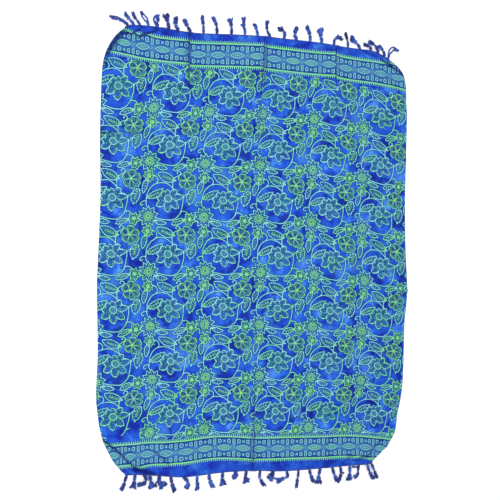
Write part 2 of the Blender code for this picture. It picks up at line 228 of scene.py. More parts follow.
# How far the hand-set stamps stray from an even repeat: y, then mm to the left and mm down at each x
STRAY_X = (-0.50, -0.36, -0.22, -0.08, 0.08, 0.22, 0.36, 0.50)
STRAY = (
    (-0.66, (-13, -10, -4, -5, -1, 1, 4, 8), (-9, -5, -4, -3, -2, -4, -6, -9)),
    (-0.58, (-15, -12, -6, -5, -2, 0, 2, 3), (-10, -6, -5, -6, -2, -4, -5, -7)),
    (-0.48, (-18, -13, -7, -6, -7, -6, -5, -3), (-1, 2, -1, -3, -1, 4, 4, 0)),
    (-0.39, (-17, -12, -6, -5, -5, -6, -4, -2), (0, 3, 1, 0, 0, 6, 5, 3)),
    (-0.29, (-4, 2, 3, 1, -3, -8, -7, -6), (7, 6, 6, 4, 3, 9, 8, 7)),
    (-0.20, (-4, 2, 3, 1, -3, -8, -9, -8), (7, 6, 6, 5, 3, 9, 8, 7)),
    (-0.10, (1, 4, 3, 0, -6, -12, -16, -17), (4, 4, 7, 5, 2, 8, 8, 6)),
    (-0.01, (6, 7, 3, 0, -6, -13, -17, -19), (4, 4, 8, 4, 2, 7, 7, 7)),
    (0.09, (8, 10, 9, 8, 1, 1, -2, -5), (0, 0, 8, 3, 0, 4, 6, 1)),
    (0.18, (5, 10, 11, 10, 5, 4, 0, 0), (0, 0, 6, 2, -2, 1, 5, 0)),
    (0.28, (11, 15, 15, 11, 3, 1, 2, -3), (-7, -1, 5, -1, -6, -1, 6, -2)),
    (0.37, (10, 10, 7, 7, 4, 0, -5, -4), (-6, 2, 4, -2, -6, -5, 4, 1)),
    (0.46, (5, 4, 6, 6, 8, 3, 1, -7), (-2, 3, 7, 2, -5, -1, 9, 1)),
    (0.55, (-3, -2, -6, -3, -1, -5, -10, -12), (-10, 2, 7, 5, -5, -2, 4, 2)),
    (0.65, (-10, 4, -6, -4, -3, -6, -4, -8), (-15, 0, 3, 4, -1, 2, 2, 1)),
)
FIRST_FLOWER = (-0.5265, 0.5564)

# The bands in mm: from eye to eye, and from the middle line to the toothed lines' outer side, as it is drawn
# and as it lies at the far and the near end
EYE_PITCH = 72.0
DRAWN_HALF = 37.3
BAND_HALF = {1: 40.6, -1: 38.2}

# A plain panel in the near left of the flowers, in two boxes in metres: x and y of the middle, half the width
# and half the height
PLAIN_PANEL = ((-0.4800, -0.6500, 0.0560, 0.0155), (-0.4440, -0.6300, 0.0190, 0.0170))

# The stamped repeat's vines, each a place in mm from the big flower's middle, and arcs through three points
# round it
VINES = (
    ((0, 0), (
        ((18, 32), (-13, 54), (-47, 50)),
        ((-47, 50), (-70, 28), (-77, -2)),
        ((-77, -2), (-78, -15), (-72, -28)),
        ((-54, 78), (-38, 70), (-44, 52)),
        ((17, 33), (15.5, 47), (17, 60)),
        ((17, 60), (24, 72), (39, 79)),
        ((39, 79), (44, 85), (42, 92)),
        ((-34, -67), (-8, -73), (15, -74)),
        ((15, -74), (38, -60), (49, -38)),
        ((49, -38), (53, -16), (54, 3)),
        ((54, 3), (60, 12), (76, 17)),
        ((46, -46), (58, -43), (72, -52)),
    )),
    ((-90, -14), (((13, 4), (1, 5), (-7, -2)), ((-7, -2), (-4, -9), (1, -6)))),
    ((36, 88), (((6, 5), (1, 7), (-5, 3)), ((-5, 3), (-6, 0), (-3, -2)))),
)

# The big flower in mm: its heart's radius and where its petals start. For each petal: the way it points in
# degrees, where its tip is and half its width
HEART = 11.8
PETAL_BASE = 8.0
PETALS = (
    (9, 54, 11.0),
    (48, 44, 10.0),
    (95, 31, 9.0),
    (136, 35, 9.5),
    (177, 39, 10.0),
    (215, 48, 11.5),
    (270, 46, 12.5),
    (320, 49, 12.0),
)

# The leaves round it: base and tip, width, bow and scallop in mm, and whether they have a bold midrib
LEAVES = (
    ((-76, 2), (-19, 33), 23, 3.0, 1.0, True),
    ((26, 62), (-37, 88), 29, -3.0, 0.6, True),
    ((-74, 68), (-89, 19), 18, 2.0, 0.6, False),
    ((92, 35), (75, -18), 30, 3.0, 1.3, True),
    ((64, -71), (16, -90), 18, 2.0, 0.6, True),
    ((-46, -75), (-3, -86), 15, 2.5, 0.6, False),
)

# One row for each tassel: the kind of its end, its width in mm, and the points that it lies through in mm
FAR_TASSELS = (
    ("eye", 10.7, (-490, 775), (-514, 790), (-536, 796), (-553, 797)),
    ("club", 10.0, (-471, 779), (-486, 795), (-506, 815)),
    ("club", 8.6, (-449, 777), (-462, 795), (-473, 809), (-478, 823)),
    ("loop", 9.3, (-421, 774), (-426, 793), (-441, 813), (-449, 827)),
    ("ring", 12.2, (-388, 779), (-394, 789), (-397, 803), (-392, 821)),
    ("fork", 12.2, (-350, 781), (-355, 798), (-363, 827)),
    ("club", 12.5, (-315, 778), (-326, 790), (-327, 821)),
    ("club", 11.8, (-273, 778), (-284, 790), (-297, 817)),
    ("club", 10.0, (-226, 776), (-228, 805), (-234, 835)),
    ("club", 10.7, (-177, 781), (-181, 810), (-194, 836)),
    ("fork", 10.7, (-124, 782), (-125, 807), (-131, 837)),
    ("side", 10.0, (-73, 782), (-76, 808), (-85, 847)),
    ("club", 10.7, (-25, 787), (-31, 808), (-40, 828)),
    ("club", 9.3, (24, 786), (10, 807), (7, 844)),
    ("ball", 12.2, (74, 784), (74, 811), (66, 818), (52, 817)),
    ("club", 12.2, (125, 782), (115, 802), (123, 834)),
    ("club", 11.5, (176, 781), (173, 813), (160, 839)),
    ("fan", 12.9, (221, 783), (218, 807), (212, 837)),
    ("side", 10.0, (270, 780), (270, 796), (281, 810), (301, 813)),
    ("club", 9.3, (327, 781), (323, 807), (314, 832)),
    ("fan", 11.5, (377, 774), (364, 794), (336, 815)),
    ("club", 10.0, (420, 771), (413, 789), (390, 795)),
    ("ball", 11.5, (450, 770), (442, 788), (427, 802), (409, 806)),
    ("club", 10.0, (477, 759), (469, 780), (460, 791), (450, 797)),
    ("loop", 10.0, (492, 752), (497, 776), (510, 791), (532, 786)),
    ("prong", 7.0, (-76, 808), (-90, 822)),
    ("prong", 6.0, (6, 830), (17, 842)),
    ("prong", 4.0, (70, 812), (66, 832)),
    ("prong", 7.0, (283, 806), (288, 822)),
    ("prong", 6.0, (294, 810), (308, 806)),
    ("prong", 7.0, (-396, 806), (-386, 808)),
)
NEAR_TASSELS = (
    ("club", 10.7, (-461, -765), (-467, -786), (-473, -807), (-480, -819)),
    ("fork", 11.5, (-433, -767), (-435, -788), (-440, -815)),
    ("club", 11.5, (-405, -768), (-395, -785), (-402, -800), (-424, -804)),
    ("fan", 12.9, (-384, -771), (-380, -791), (-373, -817)),
    ("fork", 12.9, (-349, -782), (-350, -796), (-335, -817)),
    ("club", 11.5, (-310, -786), (-304, -808), (-295, -834)),
    ("ball", 12.2, (-266, -787), (-251, -800), (-248, -813), (-255, -826)),
    ("side", 10.7, (-216, -787), (-216, -804), (-211, -833)),
    ("club", 11.8, (-174, -782), (-171, -802), (-158, -827)),
    ("fork", 12.2, (-124, -780), (-126, -800), (-122, -822)),
    ("ball", 12.9, (-79, -781), (-75, -792), (-90, -797)),
    ("fork", 11.5, (-37, -781), (-41, -800), (-37, -819)),
    ("club", 10.0, (14, -781), (12, -801), (31, -833)),
    ("fan", 12.9, (59, -784), (61, -798), (47, -812)),
    ("fork", 10.7, (113, -784), (117, -804), (98, -812), (76, -819)),
    ("club", 9.3, (159, -782), (157, -807), (152, -847)),
    ("club", 10.7, (200, -782), (207, -805), (219, -832)),
    ("fan", 12.2, (244, -780), (238, -807), (237, -837)),
    ("club", 11.5, (290, -780), (298, -805), (312, -836)),
    ("side", 10.0, (322, -777), (325, -802), (320, -833)),
    ("fan", 11.5, (360, -776), (360, -804), (358, -831)),
    ("side", 9.3, (397, -771), (394, -792), (389, -818), (380, -824)),
    ("club", 10.7, (428, -771), (436, -799), (457, -832)),
    ("club", 9.3, (445, -769), (456, -795), (471, -828)),
    ("prong", 8.0, (396, -786), (370, -782)),
    ("prong", 7.0, (324, -800), (338, -806)),
    ("prong", 7.0, (62, -796), (46, -792)),
    ("prong", 7.0, (60, -806), (74, -812)),
    ("prong", 7.0, (-348, -796), (-362, -802), (-360, -816)),
    ("prong", 7.0, (-346, -802), (-330, -800), (-322, -812)),
    ("prong", 7.0, (-40, -802), (-26, -808)),
    ("prong", 7.0, (-126, -806), (-114, -812)),
)

# How each kind of tassel ends: where its knot sits on the way along it, how far its plies part, in widths,
# and where that starts, how many threads its tuft has, how far along they reach and how wide they flare, in
# widths
TASSEL_COLUMNS = ("knot", "opening", "opens", "threads", "reach", "flare")
TASSEL_ENDS = {
    "loop": (0.88, 0.62, 0.30, 9, 1.04, 0.50),
    "ring": (0.90, 0.72, 0.42, 9, 1.04, 0.50),
    "eye": (0.88, 0.36, 0.56, 9, 1.04, 0.50),
    "ball": (0.74, 0.00, 0.50, 17, 1.0, 0.72),
    "club": (0.62, 0.00, 0.50, 17, 1.0, 0.62),
    "fan": (0.62, 0.00, 0.50, 22, 1.0, 0.95),
    "fork": (0.62, 0.00, 0.50, 20, 1.0, 0.48),
    "side": (0.62, 0.00, 0.50, 17, 1.0, 0.50),
    "prong": (0.62, 0.00, 0.50, 5, 1.0, 0.50),
}

# How much wider than its row says a tassel's yarns are, how many widths one turn of its plies takes, and how
# far its root lies out from the cloth's rim in metres
YARN_WIDEN = 1.12
TURN_LENGTH = 1.5
ROOT_OUT = 0.0012

# The two bound threads of each edge strip: how far its middle lies past the seam's gap, and its radius
STRIP_THREADS = ((0.0010, 0.0009), (0.0022, 0.0008))

# The dyes, and the painted shade of the folds and creases ("fold"), as screen colours from 0 to 255
GROUND_DYES = (
    (0.30, (14, 30, 138)),
    (0.40, (18, 48, 168)),
    (0.46, (28, 74, 188)),
    (0.55, (34, 88, 202)),
    (0.61, (50, 112, 216)),
    (0.69, (84, 152, 230)),
)
YARN_DYES = ((0.36, (10, 26, 94)), (0.50, (20, 50, 138)), (0.66, (44, 92, 184)))
DYES_AND_SHADE = {
    "pool": (14, 26, 128),
    "glow": (84, 154, 238),
    "grain": (12, 40, 140),
    "hem": (16, 44, 158),
    # Painted shade: the dark navy laid along the folds and creases
    "fold": (8, 16, 96),
    "band_pale": (34, 92, 162),
    "band_deep": (18, 60, 142),
    "band_middle": (76, 140, 204),
    "band_grain": (24, 66, 144),
    "band_cell": (26, 56, 128),
    "band_halo": (14, 58, 116),
    "band_line": (134, 204, 214),
    "band_edge": (22, 46, 126),
    "eye_blue": (78, 150, 156),
    "eye_green": (96, 172, 118),
    "eye_grain": (52, 112, 150),
    "tooth": (126, 212, 178),
    "tooth_gap": (18, 48, 130),
    "rail_lime": (120, 212, 98),
    "rail_mint": (118, 202, 142),
    "flower": (40, 112, 176),
    "flower_green": (58, 148, 132),
    "flower_middle": (16, 58, 146),
    "flower_heart": (60, 118, 166),
    "flower_cleft": (14, 42, 128),
    "halo": (12, 64, 108),
    "mint_green": (120, 212, 156),
    "mint_blue": (136, 208, 214),
    "lime": (130, 214, 116),
    "lime_mint": (124, 206, 158),
}
RAYON_FINISH = {
    "Roughness": 0.78,
    "Specular IOR Level": 0.10,
    "Sheen Weight": 0.02,
    "Sheen Roughness": 0.4,
}
YARN_FINISH = {"Roughness": 0.85, "Sheen Weight": 0.08, "Sheen Roughness": 0.5}
FLOOR_FINISH = {"Base Color": (0.97, 0.97, 0.97, 1.0), "Roughness": 0.9}
FLOOR_DROP = 0.0002

# The weave's thread pitch in mm, and the heights of the weave and the crumples in metres
THREAD_PITCH = 0.9
WEAVE_HEIGHT = 0.00004
CRUMPLE_HEIGHT = 0.0012

# The camera that the photograph was fitted with, in the cloth's frame
CAMERA_PLACE = (-0.8032, -0.0629, 2.6770)
CAMERA_TURNS = (1.5686, -15.9279, 1.5249)
FOCAL_PIXELS = 775.64
PICTURE_PIXELS = 500.0
SENSOR = 36.0


def smooth_step(t):
    """0 below 0, 1 above 1, and a level-ended cubic between."""
    t = np.clip(t, 0.0, 1.0)
    return t * t * (3.0 - 2.0 * t)


def through(at, knots, values):
    """A cubic through the knots, level beyond both ends, with slopes from each knot's neighbours."""
    knots = np.asarray(knots)
    values = np.asarray(values)
    at = np.clip(at, knots[0], knots[-1])
    slopes = np.gradient(values, knots)
    left = np.clip(np.searchsorted(knots, at, side="right") - 1, 0, len(knots) - 2)
    span = knots[left + 1] - knots[left]
    t = (at - knots[left]) / span
    start = values[left] * (1 + 2 * t) * (1 - t) ** 2 + slopes[left] * span * t * (1 - t) ** 2
    finish = values[left + 1] * t * t * (3 - 2 * t) + slopes[left + 1] * span * t * t * (t - 1)
    return start + finish


def corner_inset(y, side):
    """How far a corner draws the selvedge in: a superellipse over the corner's reach along the side."""
    inset = np.zeros_like(y)
    for corner in CORNERS:
        if corner["side"] != side:
            continue
        depth = LENGTH / 2 - corner["end"] * y
        rise = np.clip(1.0 - depth / corner["along"], 0.0, 1.0)
        reach = (1.0 - rise ** corner["power"]) ** (1.0 / corner["power"])
        inset = inset + corner["across"] * (1.0 - reach)
    return inset


def selvedge(y, side):
    """The x of one long side: half the width, plus its sway, less the corners' inset."""
    sway = through(y, SIDE_SWAY["y"], SIDE_SWAY["right" if side > 0 else "left"])
    return side * (WIDTH / 2 + sway - corner_inset(y, side))


def sway_ends(x, y):
    """Moves points near a cut end out or in by that end's sway, faded out over END_BLEND."""
    far = through(x, END_SWAY["x"], END_SWAY["far"])
    near = through(x, END_SWAY["x"], END_SWAY["near"])
    far_weight = smooth_step(1.0 - (LENGTH / 2 - y) / END_BLEND)
    near_weight = smooth_step(1.0 - (LENGTH / 2 + y) / END_BLEND)
    return y + far * far_weight - near * near_weight


def fold_x(fold, y):
    """The x of one lengthwise packing fold at height y."""
    return through(y, FOLDS["y"], FOLDS["x"][fold])


def lift(x, y):
    """The height of the creases: the highest of the ridges, each a hump whose peak may lean to one side."""
    height = np.zeros_like(x)
    for row in CREASES:
        crease = dict(zip(CREASE_COLUMNS, row))
        run_x = crease["x1"] - crease["x0"]
        run_y = crease["y1"] - crease["y0"]
        run = math.hypot(run_x, run_y)
        part = ((x - crease["x0"]) * run_x + (y - crease["y0"]) * run_y) / run**2
        inside = np.clip(part, 0.0, 1.0)
        beyond = (part - inside) * run
        aside = ((x - crease["x0"]) * run_y - (y - crease["y0"]) * run_x) / run / crease["half"]
        peak = crease["lean"] * 0.7
        leaned = np.where(aside > peak, (aside - peak) / (1 - peak), (peak - aside) / (1 + peak))
        off = np.hypot(leaned, beyond / crease["half"])
        hump = np.clip(1.0 - off**2, 0.0, None) ** 2
        height = np.maximum(height, hump * (crease["h0"] + inside * (crease["h1"] - crease["h0"])))
    return height


def painted_crease_shade(x, y):
    """How dark the painted shade is along the folds and creases: at each point the darkest of its lines, each
    a narrow bell.
    """
    depth = np.zeros_like(x)
    for wide, deep, *marks in SHADES:
        for (x0, y0), (x1, y1) in zip(marks, marks[1:]):
            run_x = (x1 - x0) / 1000
            run_y = (y1 - y0) / 1000
            from_x = x - x0 / 1000
            from_y = y - y0 / 1000
            part = np.clip((from_x * run_x + from_y * run_y) / (run_x**2 + run_y**2), 0.0, 1.0)
            off = np.hypot(from_x - part * run_x, from_y - part * run_y)
            depth = np.maximum(depth, deep * np.exp(-((off * 1000 / wide) ** 2)))
    return depth


def slip(x, y):
    """How far slanting creases shift the print, in mm along and outwards: steps that fade to both sides."""
    along = np.zeros_like(x)
    outwards = np.zeros_like(x)
    for x0, y0, x1, y1, slip_along, slip_out, reach in SLIPS:
        run_x = x1 - x0
        run_y = y1 - y0
        run = math.hypot(run_x, run_y)
        part = ((x - x0) * run_x + (y - y0) * run_y) / run**2
        aside = ((x - x0) * run_y - (y - y0) * run_x) / run
        fade = smooth_step((part + 0.15) / 0.3) * smooth_step((1.15 - part) / 0.3)
        step = 0.5 * np.tanh(aside / 0.0012) * np.exp(-np.abs(aside) / reach) * fade
        along = along + slip_along * step
        outwards = outwards + slip_out * step
    return along, outwards


def cloth_grid():
    """The cloth's points in plan, rows from the near to the far end.

    Rows: the distance from an end grows as s * s / (s + END_CROWDING). Columns: four blocks between the
    selvedges and the folds, each crowded towards its two borders by a sine.
    """
    share = np.linspace(0.0, 1.0, ROWS // 2 + 1)
    depth = LENGTH / 2 * (1 + END_CROWDING) * share**2 / (share + END_CROWDING)
    rows = np.concatenate([depth - LENGTH / 2, (LENGTH / 2 - depth)[-2::-1]])
    borders = [selvedge(rows, -1)] + [fold_x(fold, rows) for fold in range(3)] + [selvedge(rows, 1)]
    t = np.linspace(0.0, 1.0, BLOCK_COLUMNS + 1)
    t = t - FOLD_CROWDING * np.sin(2 * math.pi * t) / (2 * math.pi)
    blocks = []
    for left, right in zip(borders, borders[1:]):
        block = left[:, None] + (right - left)[:, None] * t
        blocks.append(block if right is borders[-1] else block[:, :-1])
    x = np.concatenate(blocks, axis=1)
    return x, sway_ends(x, np.broadcast_to(rows[:, None], x.shape))


def band_place(x, y, end, block):
    """Where a point lies on one end's band: eyes counted from the left, and mm out from its middle line."""
    band = BANDS[end][block]
    line = np.array(band["line"])
    eyes = np.array(band["eyes"])
    middle = through(x, line[:, 0], line[:, 1])
    along, outwards = slip(x, y)
    outwards = ((end * y - middle) * 1000.0 + outwards) * DRAWN_HALF / BAND_HALF[end]
    return np.interp(x, eyes[:, 0], eyes[:, 1]) + along / EYE_PITCH, outwards


def stray(x, y):
    """How far the stamps stray, in mm: straight between the table's columns, and eased between its rows."""
    levels = np.array([row[0] for row in STRAY])
    left = np.stack([np.interp(x, STRAY_X, row[1]) for row in STRAY])
    down = np.stack([np.interp(x, STRAY_X, row[2]) for row in STRAY])
    place = np.interp(y, levels, np.arange(len(STRAY)))
    low = np.clip(place.astype(int), 0, len(STRAY) - 2)
    part = smooth_step(place - low)
    spot = np.arange(len(x))
    mixed = [side[low, spot] * (1 - part) + side[low + 1, spot] * part for side in (left, down)]
    return mixed[0], mixed[1]


def print_place(x, y, block):
    """Where a point lies on the stamped flowers, in mm from the first flower.

    The drift across the width is taken off, and near each fold the print jumps by the strip that it hides.
    """
    across = x - FIRST_FLOWER[0]
    along = y - FIRST_FLOWER[1] - through(x, STAMP_DRIFT["x"], STAMP_DRIFT["up"])
    across = across + 0.0022 * np.sin(9.0 * y + 1.3) + 0.0016 * np.sin(23.0 * y + 4.0 * x)
    along = along + 0.0020 * np.sin(11.0 * x + 0.7) + 0.0014 * np.sin(19.0 * x + 6.0 * y + 2.0)
    left, down = stray(x, y)
    across = across + left / 1000
    along = along + down / 1000
    for end in (1, -1):
        fade = smooth_step((end * y - 0.50) / 0.14)
        for fold, (hidden, higher) in enumerate(FOLD_JUMPS[end]):
            away = x - fold_x(fold, y)
            sign = 0.5 if block > fold else -0.5
            weight = sign * np.exp(-np.abs(away) / 0.07) * fade
            across = across + weight * hidden
            along = along - weight * higher
    return across * 1000.0, along * 1000.0


def grid_faces(count_v, count_u):
    """The corners of every cell of a grid, and the rim's points in order round it."""
    index = np.arange(count_v * count_u).reshape(count_v, count_u)
    cell = np.stack([index[:-1, :-1], index[:-1, 1:], index[1:, 1:], index[1:, :-1]], axis=-1)
    rim = np.concatenate([index[0, :-1], index[:-1, -1], index[-1, :0:-1], index[:0:-1, 0]])
    return cell.reshape(-1, 4), rim


def mesh_piece(name, points, faces):
    """A new piece from arrays of points and faces with four corners, in the row frame."""
    mesh = bpy.data.meshes.new(name)
    mesh.vertices.add(len(points))
    mesh.vertices.foreach_set("co", np.asarray(points, dtype=np.float32).ravel())
    mesh.loops.add(faces.size)
    mesh.loops.foreach_set("vertex_index", faces.ravel().astype(np.int32))
    mesh.polygons.add(len(faces))
    mesh.polygons.foreach_set("loop_start", np.arange(0, faces.size, 4, dtype=np.int32))
    mesh.polygons.foreach_set("use_smooth", np.full(len(faces), True))
    mesh.update(calc_edges=True)
    mesh.validate()
    thing = bpy.data.objects.new(name, mesh)
    bpy.context.scene.collection.objects.link(thing)
    return thing


def make_cloth(shift):
    """The cloth: an upper and a lower sheet over the grid, joined by a narrow wall.

    It carries two print maps, which jump at the packing folds, and how dark the painted shade is along its
    folds and creases.
    """
    x, y = cloth_grid()
    low = lift(x, y)
    upper = np.stack([x + shift[0], y + shift[1], low + CLOTH_WALL], axis=-1).reshape(-1, 3)
    lower = np.stack([x + shift[0], y + shift[1], low], axis=-1).reshape(-1, 3)
    cells, rim = grid_faces(*x.shape)
    below = x.size
    following = np.roll(rim, -1)
    wall = np.stack([rim, rim + below, following + below, following], axis=-1)
    faces = np.concatenate([cells, cells[:, ::-1] + below, wall])
    cloth = mesh_piece("printed_cloth", np.concatenate([upper, lower]), faces)

    columns = x.shape[1] - 1
    block_of = np.minimum(np.arange(columns) // BLOCK_COLUMNS, 3)
    stamped = np.zeros((4, x.size, 2))
    banded = np.zeros((4, x.size, 2))
    flat_x = x.ravel()
    flat_y = y.ravel()
    for block in range(4):
        stamped[block] = np.stack(print_place(flat_x, flat_y, block), axis=-1)
        far = np.stack(band_place(flat_x, flat_y, 1, block), axis=-1)
        near = np.stack(band_place(flat_x, flat_y, -1, block), axis=-1)
        banded[block] = np.where(flat_y[:, None] > 0, far, near)
    cell_block = np.tile(block_of, x.shape[0] - 1)
    rim_block = np.minimum((rim % x.shape[1]) // BLOCK_COLUMNS, 3)
    wall_points = np.stack([rim, rim, following, following], axis=-1)
    for name, table in (("stamps", stamped), ("bands", banded)):
        on_cells = table[cell_block[:, None], cells]
        on_wall = table[rim_block[:, None], wall_points]
        corners = np.concatenate([on_cells, on_cells[:, ::-1], on_wall])
        layer = cloth.data.uv_layers.new(name=name)
        layer.uv.foreach_set("vector", corners.astype(np.float32).ravel())
    # The painted shade along the folds and creases, kept on every point as the crease attribute
    depth = np.tile(painted_crease_shade(flat_x, flat_y), 2)
    cloth.data.attributes.new("crease", "FLOAT", "POINT").data.foreach_set("value", depth.astype(np.float32))
    return cloth


def tint(screen):
    """A colour given as screen values from 0 to 255, turned into linear light."""
    parts = np.array(screen) / 255.0
    linear = np.where(parts <= 0.04045, parts / 12.92, ((parts + 0.055) / 1.055) ** 2.4)
    return (*linear.tolist(), 1.0)


class Number:
    """A number that changes over the cloth, held as a socket; the usual signs add Math nodes to its tree."""

    def __init__(self, tree, socket):
        self.tree = tree
        self.socket = socket

    def math(self, operation, *others, clamp=False):
        node = self.tree.nodes.new("ShaderNodeMath")
        node.operation = operation
        node.use_clamp = clamp
        self.tree.links.new(self.socket, node.inputs[0])
        for item, place in zip(others, node.inputs[1:]):
            if isinstance(item, Number):
                self.tree.links.new(item.socket, place)
            else:
                place.default_value = item
        return Number(self.tree, node.outputs[0])

    def __add__(self, other):
        return self.math("ADD", other)

    def __sub__(self, other):
        return self.math("SUBTRACT", other)

    def __mul__(self, other):
        return self.math("MULTIPLY", other)

    def __neg__(self):
        return self.math("MULTIPLY", -1.0)

    def __abs__(self):
        return self.math("ABSOLUTE")

    def least(self, other):
        return self.math("MINIMUM", other)

    def most(self, other):
        return self.math("MAXIMUM", other)

    def times_plus(self, factor, extra, clamp=False):
        return self.math("MULTIPLY_ADD", factor, extra, clamp=clamp)

    def below(self, edge, soft):
        """1 where this is under the edge and 0 where it is over, with a ramp as wide as soft."""
        return self.times_plus(-1.0 / soft, edge / soft + 0.5, clamp=True)

    def repeat(self, pitch):
        """Distance to the nearest of evenly spaced marks, one at every whole pitch."""
        return self.math("PINGPONG", pitch / 2)


class Point:
    """A place on the print, held as a vector socket, in mm."""

    def __init__(self, tree, socket):
        self.tree = tree
        self.socket = socket

    def vector(self, operation, *others):
        node = self.tree.nodes.new("ShaderNodeVectorMath")
        node.operation = operation
        self.tree.links.new(self.socket, node.inputs[0])
        for item, place in zip(others, node.inputs[1:]):
            place.default_value = item
        return node

    def less(self, x, y):
        return Point(self.tree, self.vector("SUBTRACT", (x, y, 0.0)).outputs["Vector"])

    def dot(self, x, y):
        return Number(self.tree, self.vector("DOT_PRODUCT", (x, y, 0.0)).outputs["Value"])

    def turned(self, degrees):
        """x and y along and across a direction."""
        c = math.cos(math.radians(degrees))
        s = math.sin(math.radians(degrees))
        return self.dot(c, s), self.dot(-s, c)

    def from_middle(self):
        return Number(self.tree, self.vector("LENGTH").outputs["Value"])

    def near(self, x, y):
        """This place measured from the nearest repeat of the spot x, y."""
        moved = self.less(x, y)
        half = (TILE[0] * 500, TILE[1] * 500, 1.0)
        back = tuple(-size for size in half)
        return Point(self.tree, moved.vector("WRAP", half, back).outputs["Vector"])


def length(x, y):
    """The hypotenuse of two numbers."""
    return (x * x + y * y).math("SQRT")


def lens(x, y, reach, half):
    """Signed distance to a pointed lens: two circles through its tips, reach from the middle."""
    radius = (reach**2 + half**2) / (2 * half)
    return length(x, abs(y) + (radius - half)) - radius


def ogee(x, y, reach, half):
    """Nearly the distance to a petal: its half width grows as the way from its base to the power 0.7, and
    falls as that to its tip to the power 1.2, so that the base is broad and the tip pointed.
    """
    from_base = x.times_plus(0.5 / reach, 0.5, clamp=True).math("POWER", 0.7)
    from_tip = x.times_plus(-0.5 / reach, 0.5, clamp=True).math("POWER", 1.2)
    return (from_base * from_tip).times_plus(-3.55 * half, abs(y)).most(abs(x) - reach)


def arc(spot, first, middle, last):
    """Distance to the arc through three points: from its circle, cut off at the chord of its ends."""
    (x0, y0), (x1, y1), (x2, y2) = first, middle, last
    twice = 2 * (x0 * (y1 - y2) + x1 * (y2 - y0) + x2 * (y0 - y1))
    s0 = x0 * x0 + y0 * y0
    s1 = x1 * x1 + y1 * y1
    s2 = x2 * x2 + y2 * y2
    cx = (s0 * (y1 - y2) + s1 * (y2 - y0) + s2 * (y0 - y1)) / twice
    cy = (s0 * (x2 - x1) + s1 * (x0 - x2) + s2 * (x1 - x0)) / twice
    radius = math.hypot(x0 - cx, y0 - cy)
    chord_x, chord_y = x2 - x0, y2 - y0
    span = math.hypot(chord_x, chord_y)
    out_x, out_y = chord_y / span, -chord_x / span
    if (x1 - x0) * out_x + (y1 - y0) * out_y < 0:
        out_x, out_y = -out_x, -out_y
    from_circle = abs(spot.less(cx, cy).from_middle() - radius)
    chord = spot.dot(-out_x, -out_y) + (x0 * out_x + y0 * out_y)
    return from_circle.most(chord)


def leaf(spot, base, tip, width, bend, ragged):
    """Signed distance to a leaf's outline, and distances to its midrib and to its herringbone veins.

    The leaf is a lens from base to tip, bent into a bow by a square of the way along, with a scalloped edge.
    """
    middle = ((base[0] + tip[0]) / 2, (base[1] + tip[1]) / 2)
    reach = math.hypot(tip[0] - base[0], tip[1] - base[1]) / 2
    turn = math.degrees(math.atan2(tip[1] - base[1], tip[0] - base[0]))
    x, y = spot.near(*middle).turned(turn)
    y = (x * x).times_plus(-bend / reach**2, y) + bend
    side = abs(y)
    inside = (x * (2 * math.pi / 11.0)).math("SINE").times_plus(ragged, lens(x, y, reach, width / 2))
    rib = side.most(abs(x + reach * 0.22) - reach * 0.66)
    veins = (x - side * 0.9).repeat(8.6).most(side - width * 0.2)
    return inside, rib, veins.most(abs(x + reach * 0.2) - reach * 0.62)


def petals(x, y, count, turn, first, last, half, uneven):
    """Signed distance to a ring of ogee petals, the ways along and across the nearest, and from the middle.

    The angle is folded into one petal's share, after a sine of twice the angle has made the shares uneven.
    """
    radius = length(x, y)
    angle = y.math("ARCTAN2", x)
    angle = (angle * 2.0 + turn).math("SINE").times_plus(uneven, angle)
    step = 2 * math.pi / count
    folded = (angle.times_plus(1 / step, 0.5 - math.radians(turn) / step).math("FRACT") - 0.5) * step
    along = radius * folded.math("COSINE")
    across = radius * folded.math("SINE")
    inside = ogee(along - (first + last) / 2, across, (last - first) / 2, half)
    return inside, along, abs(across), radius


def stroke(distance, along, start, finish):
    """A line along its distance, kept between two places along it."""
    return distance.most((-along) + start).most(along - finish)


class Chart:
    """The stamped repeat as it is drawn. Each layer is the least of its distances in mm: to the fine and the
    bold lines, and to the insides of open flowers and leaves, "filled", and of the greener flowers, "lush".
    """

    def __init__(self):
        self.layers = {}

    def draw(self, layer, *distances):
        for distance in distances:
            kept = self.layers.get(layer)
            self.layers[layer] = distance if kept is None else kept.least(distance)


def draw_big_flower(chart, home):
    """The big flower: a round heart amid lens petals of uneven length, their outline ruffled by a sine.

    Gives the way from its middle, measured a little askew.
    """
    x, y = home.turned(0.0)
    heart = length(x * 0.94, y + x * 0.12)
    chart.draw("fine", abs(heart - HEART) + 0.1, (x * 0.8 + y * 0.6).repeat(7.0).most(heart - 9.0) + 1.0)
    chart.draw("lush", heart - HEART)
    flower = heart - 16.0
    for towards, tip, half in PETALS:
        along, across = home.turned(towards)
        petal = lens(along - (PETAL_BASE + tip) / 2, across, (tip - PETAL_BASE) / 2, half)
        flower = flower.least(petal)
        chart.draw("fine", stroke(abs(across), along, 17.0, tip * 0.5) + 1.0)
    ruffle = (y.math("ARCTAN2", x) * 23.0 + heart * 0.3).math("SINE")
    flower = ruffle.times_plus(0.9, flower)
    chart.draw("filled", flower)
    chart.draw("fine", abs(flower), abs(flower + 5.0) + 1.0)
    return heart


def draw_vines(chart, spot):
    """The vines, and a small curl and a hook of two arcs each."""
    for place, bends in VINES:
        middle_of = spot.near(*place)
        for bend in bends:
            chart.draw("fine", arc(middle_of, *bend))


def draw_leaves(chart, spot):
    """The leaves, each with a bold midrib and bold veins or with fine veins alone."""
    for base, tip, width, bend, ragged, heavy in LEAVES:
        outline, rib, veins = leaf(spot, base, tip, width, bend, ragged)
        chart.draw("filled", outline)
        chart.draw("fine", abs(outline))
        if heavy:
            chart.draw("bold", rib + 0.7, veins + 0.4)
        else:
            chart.draw("fine", veins + 0.6)


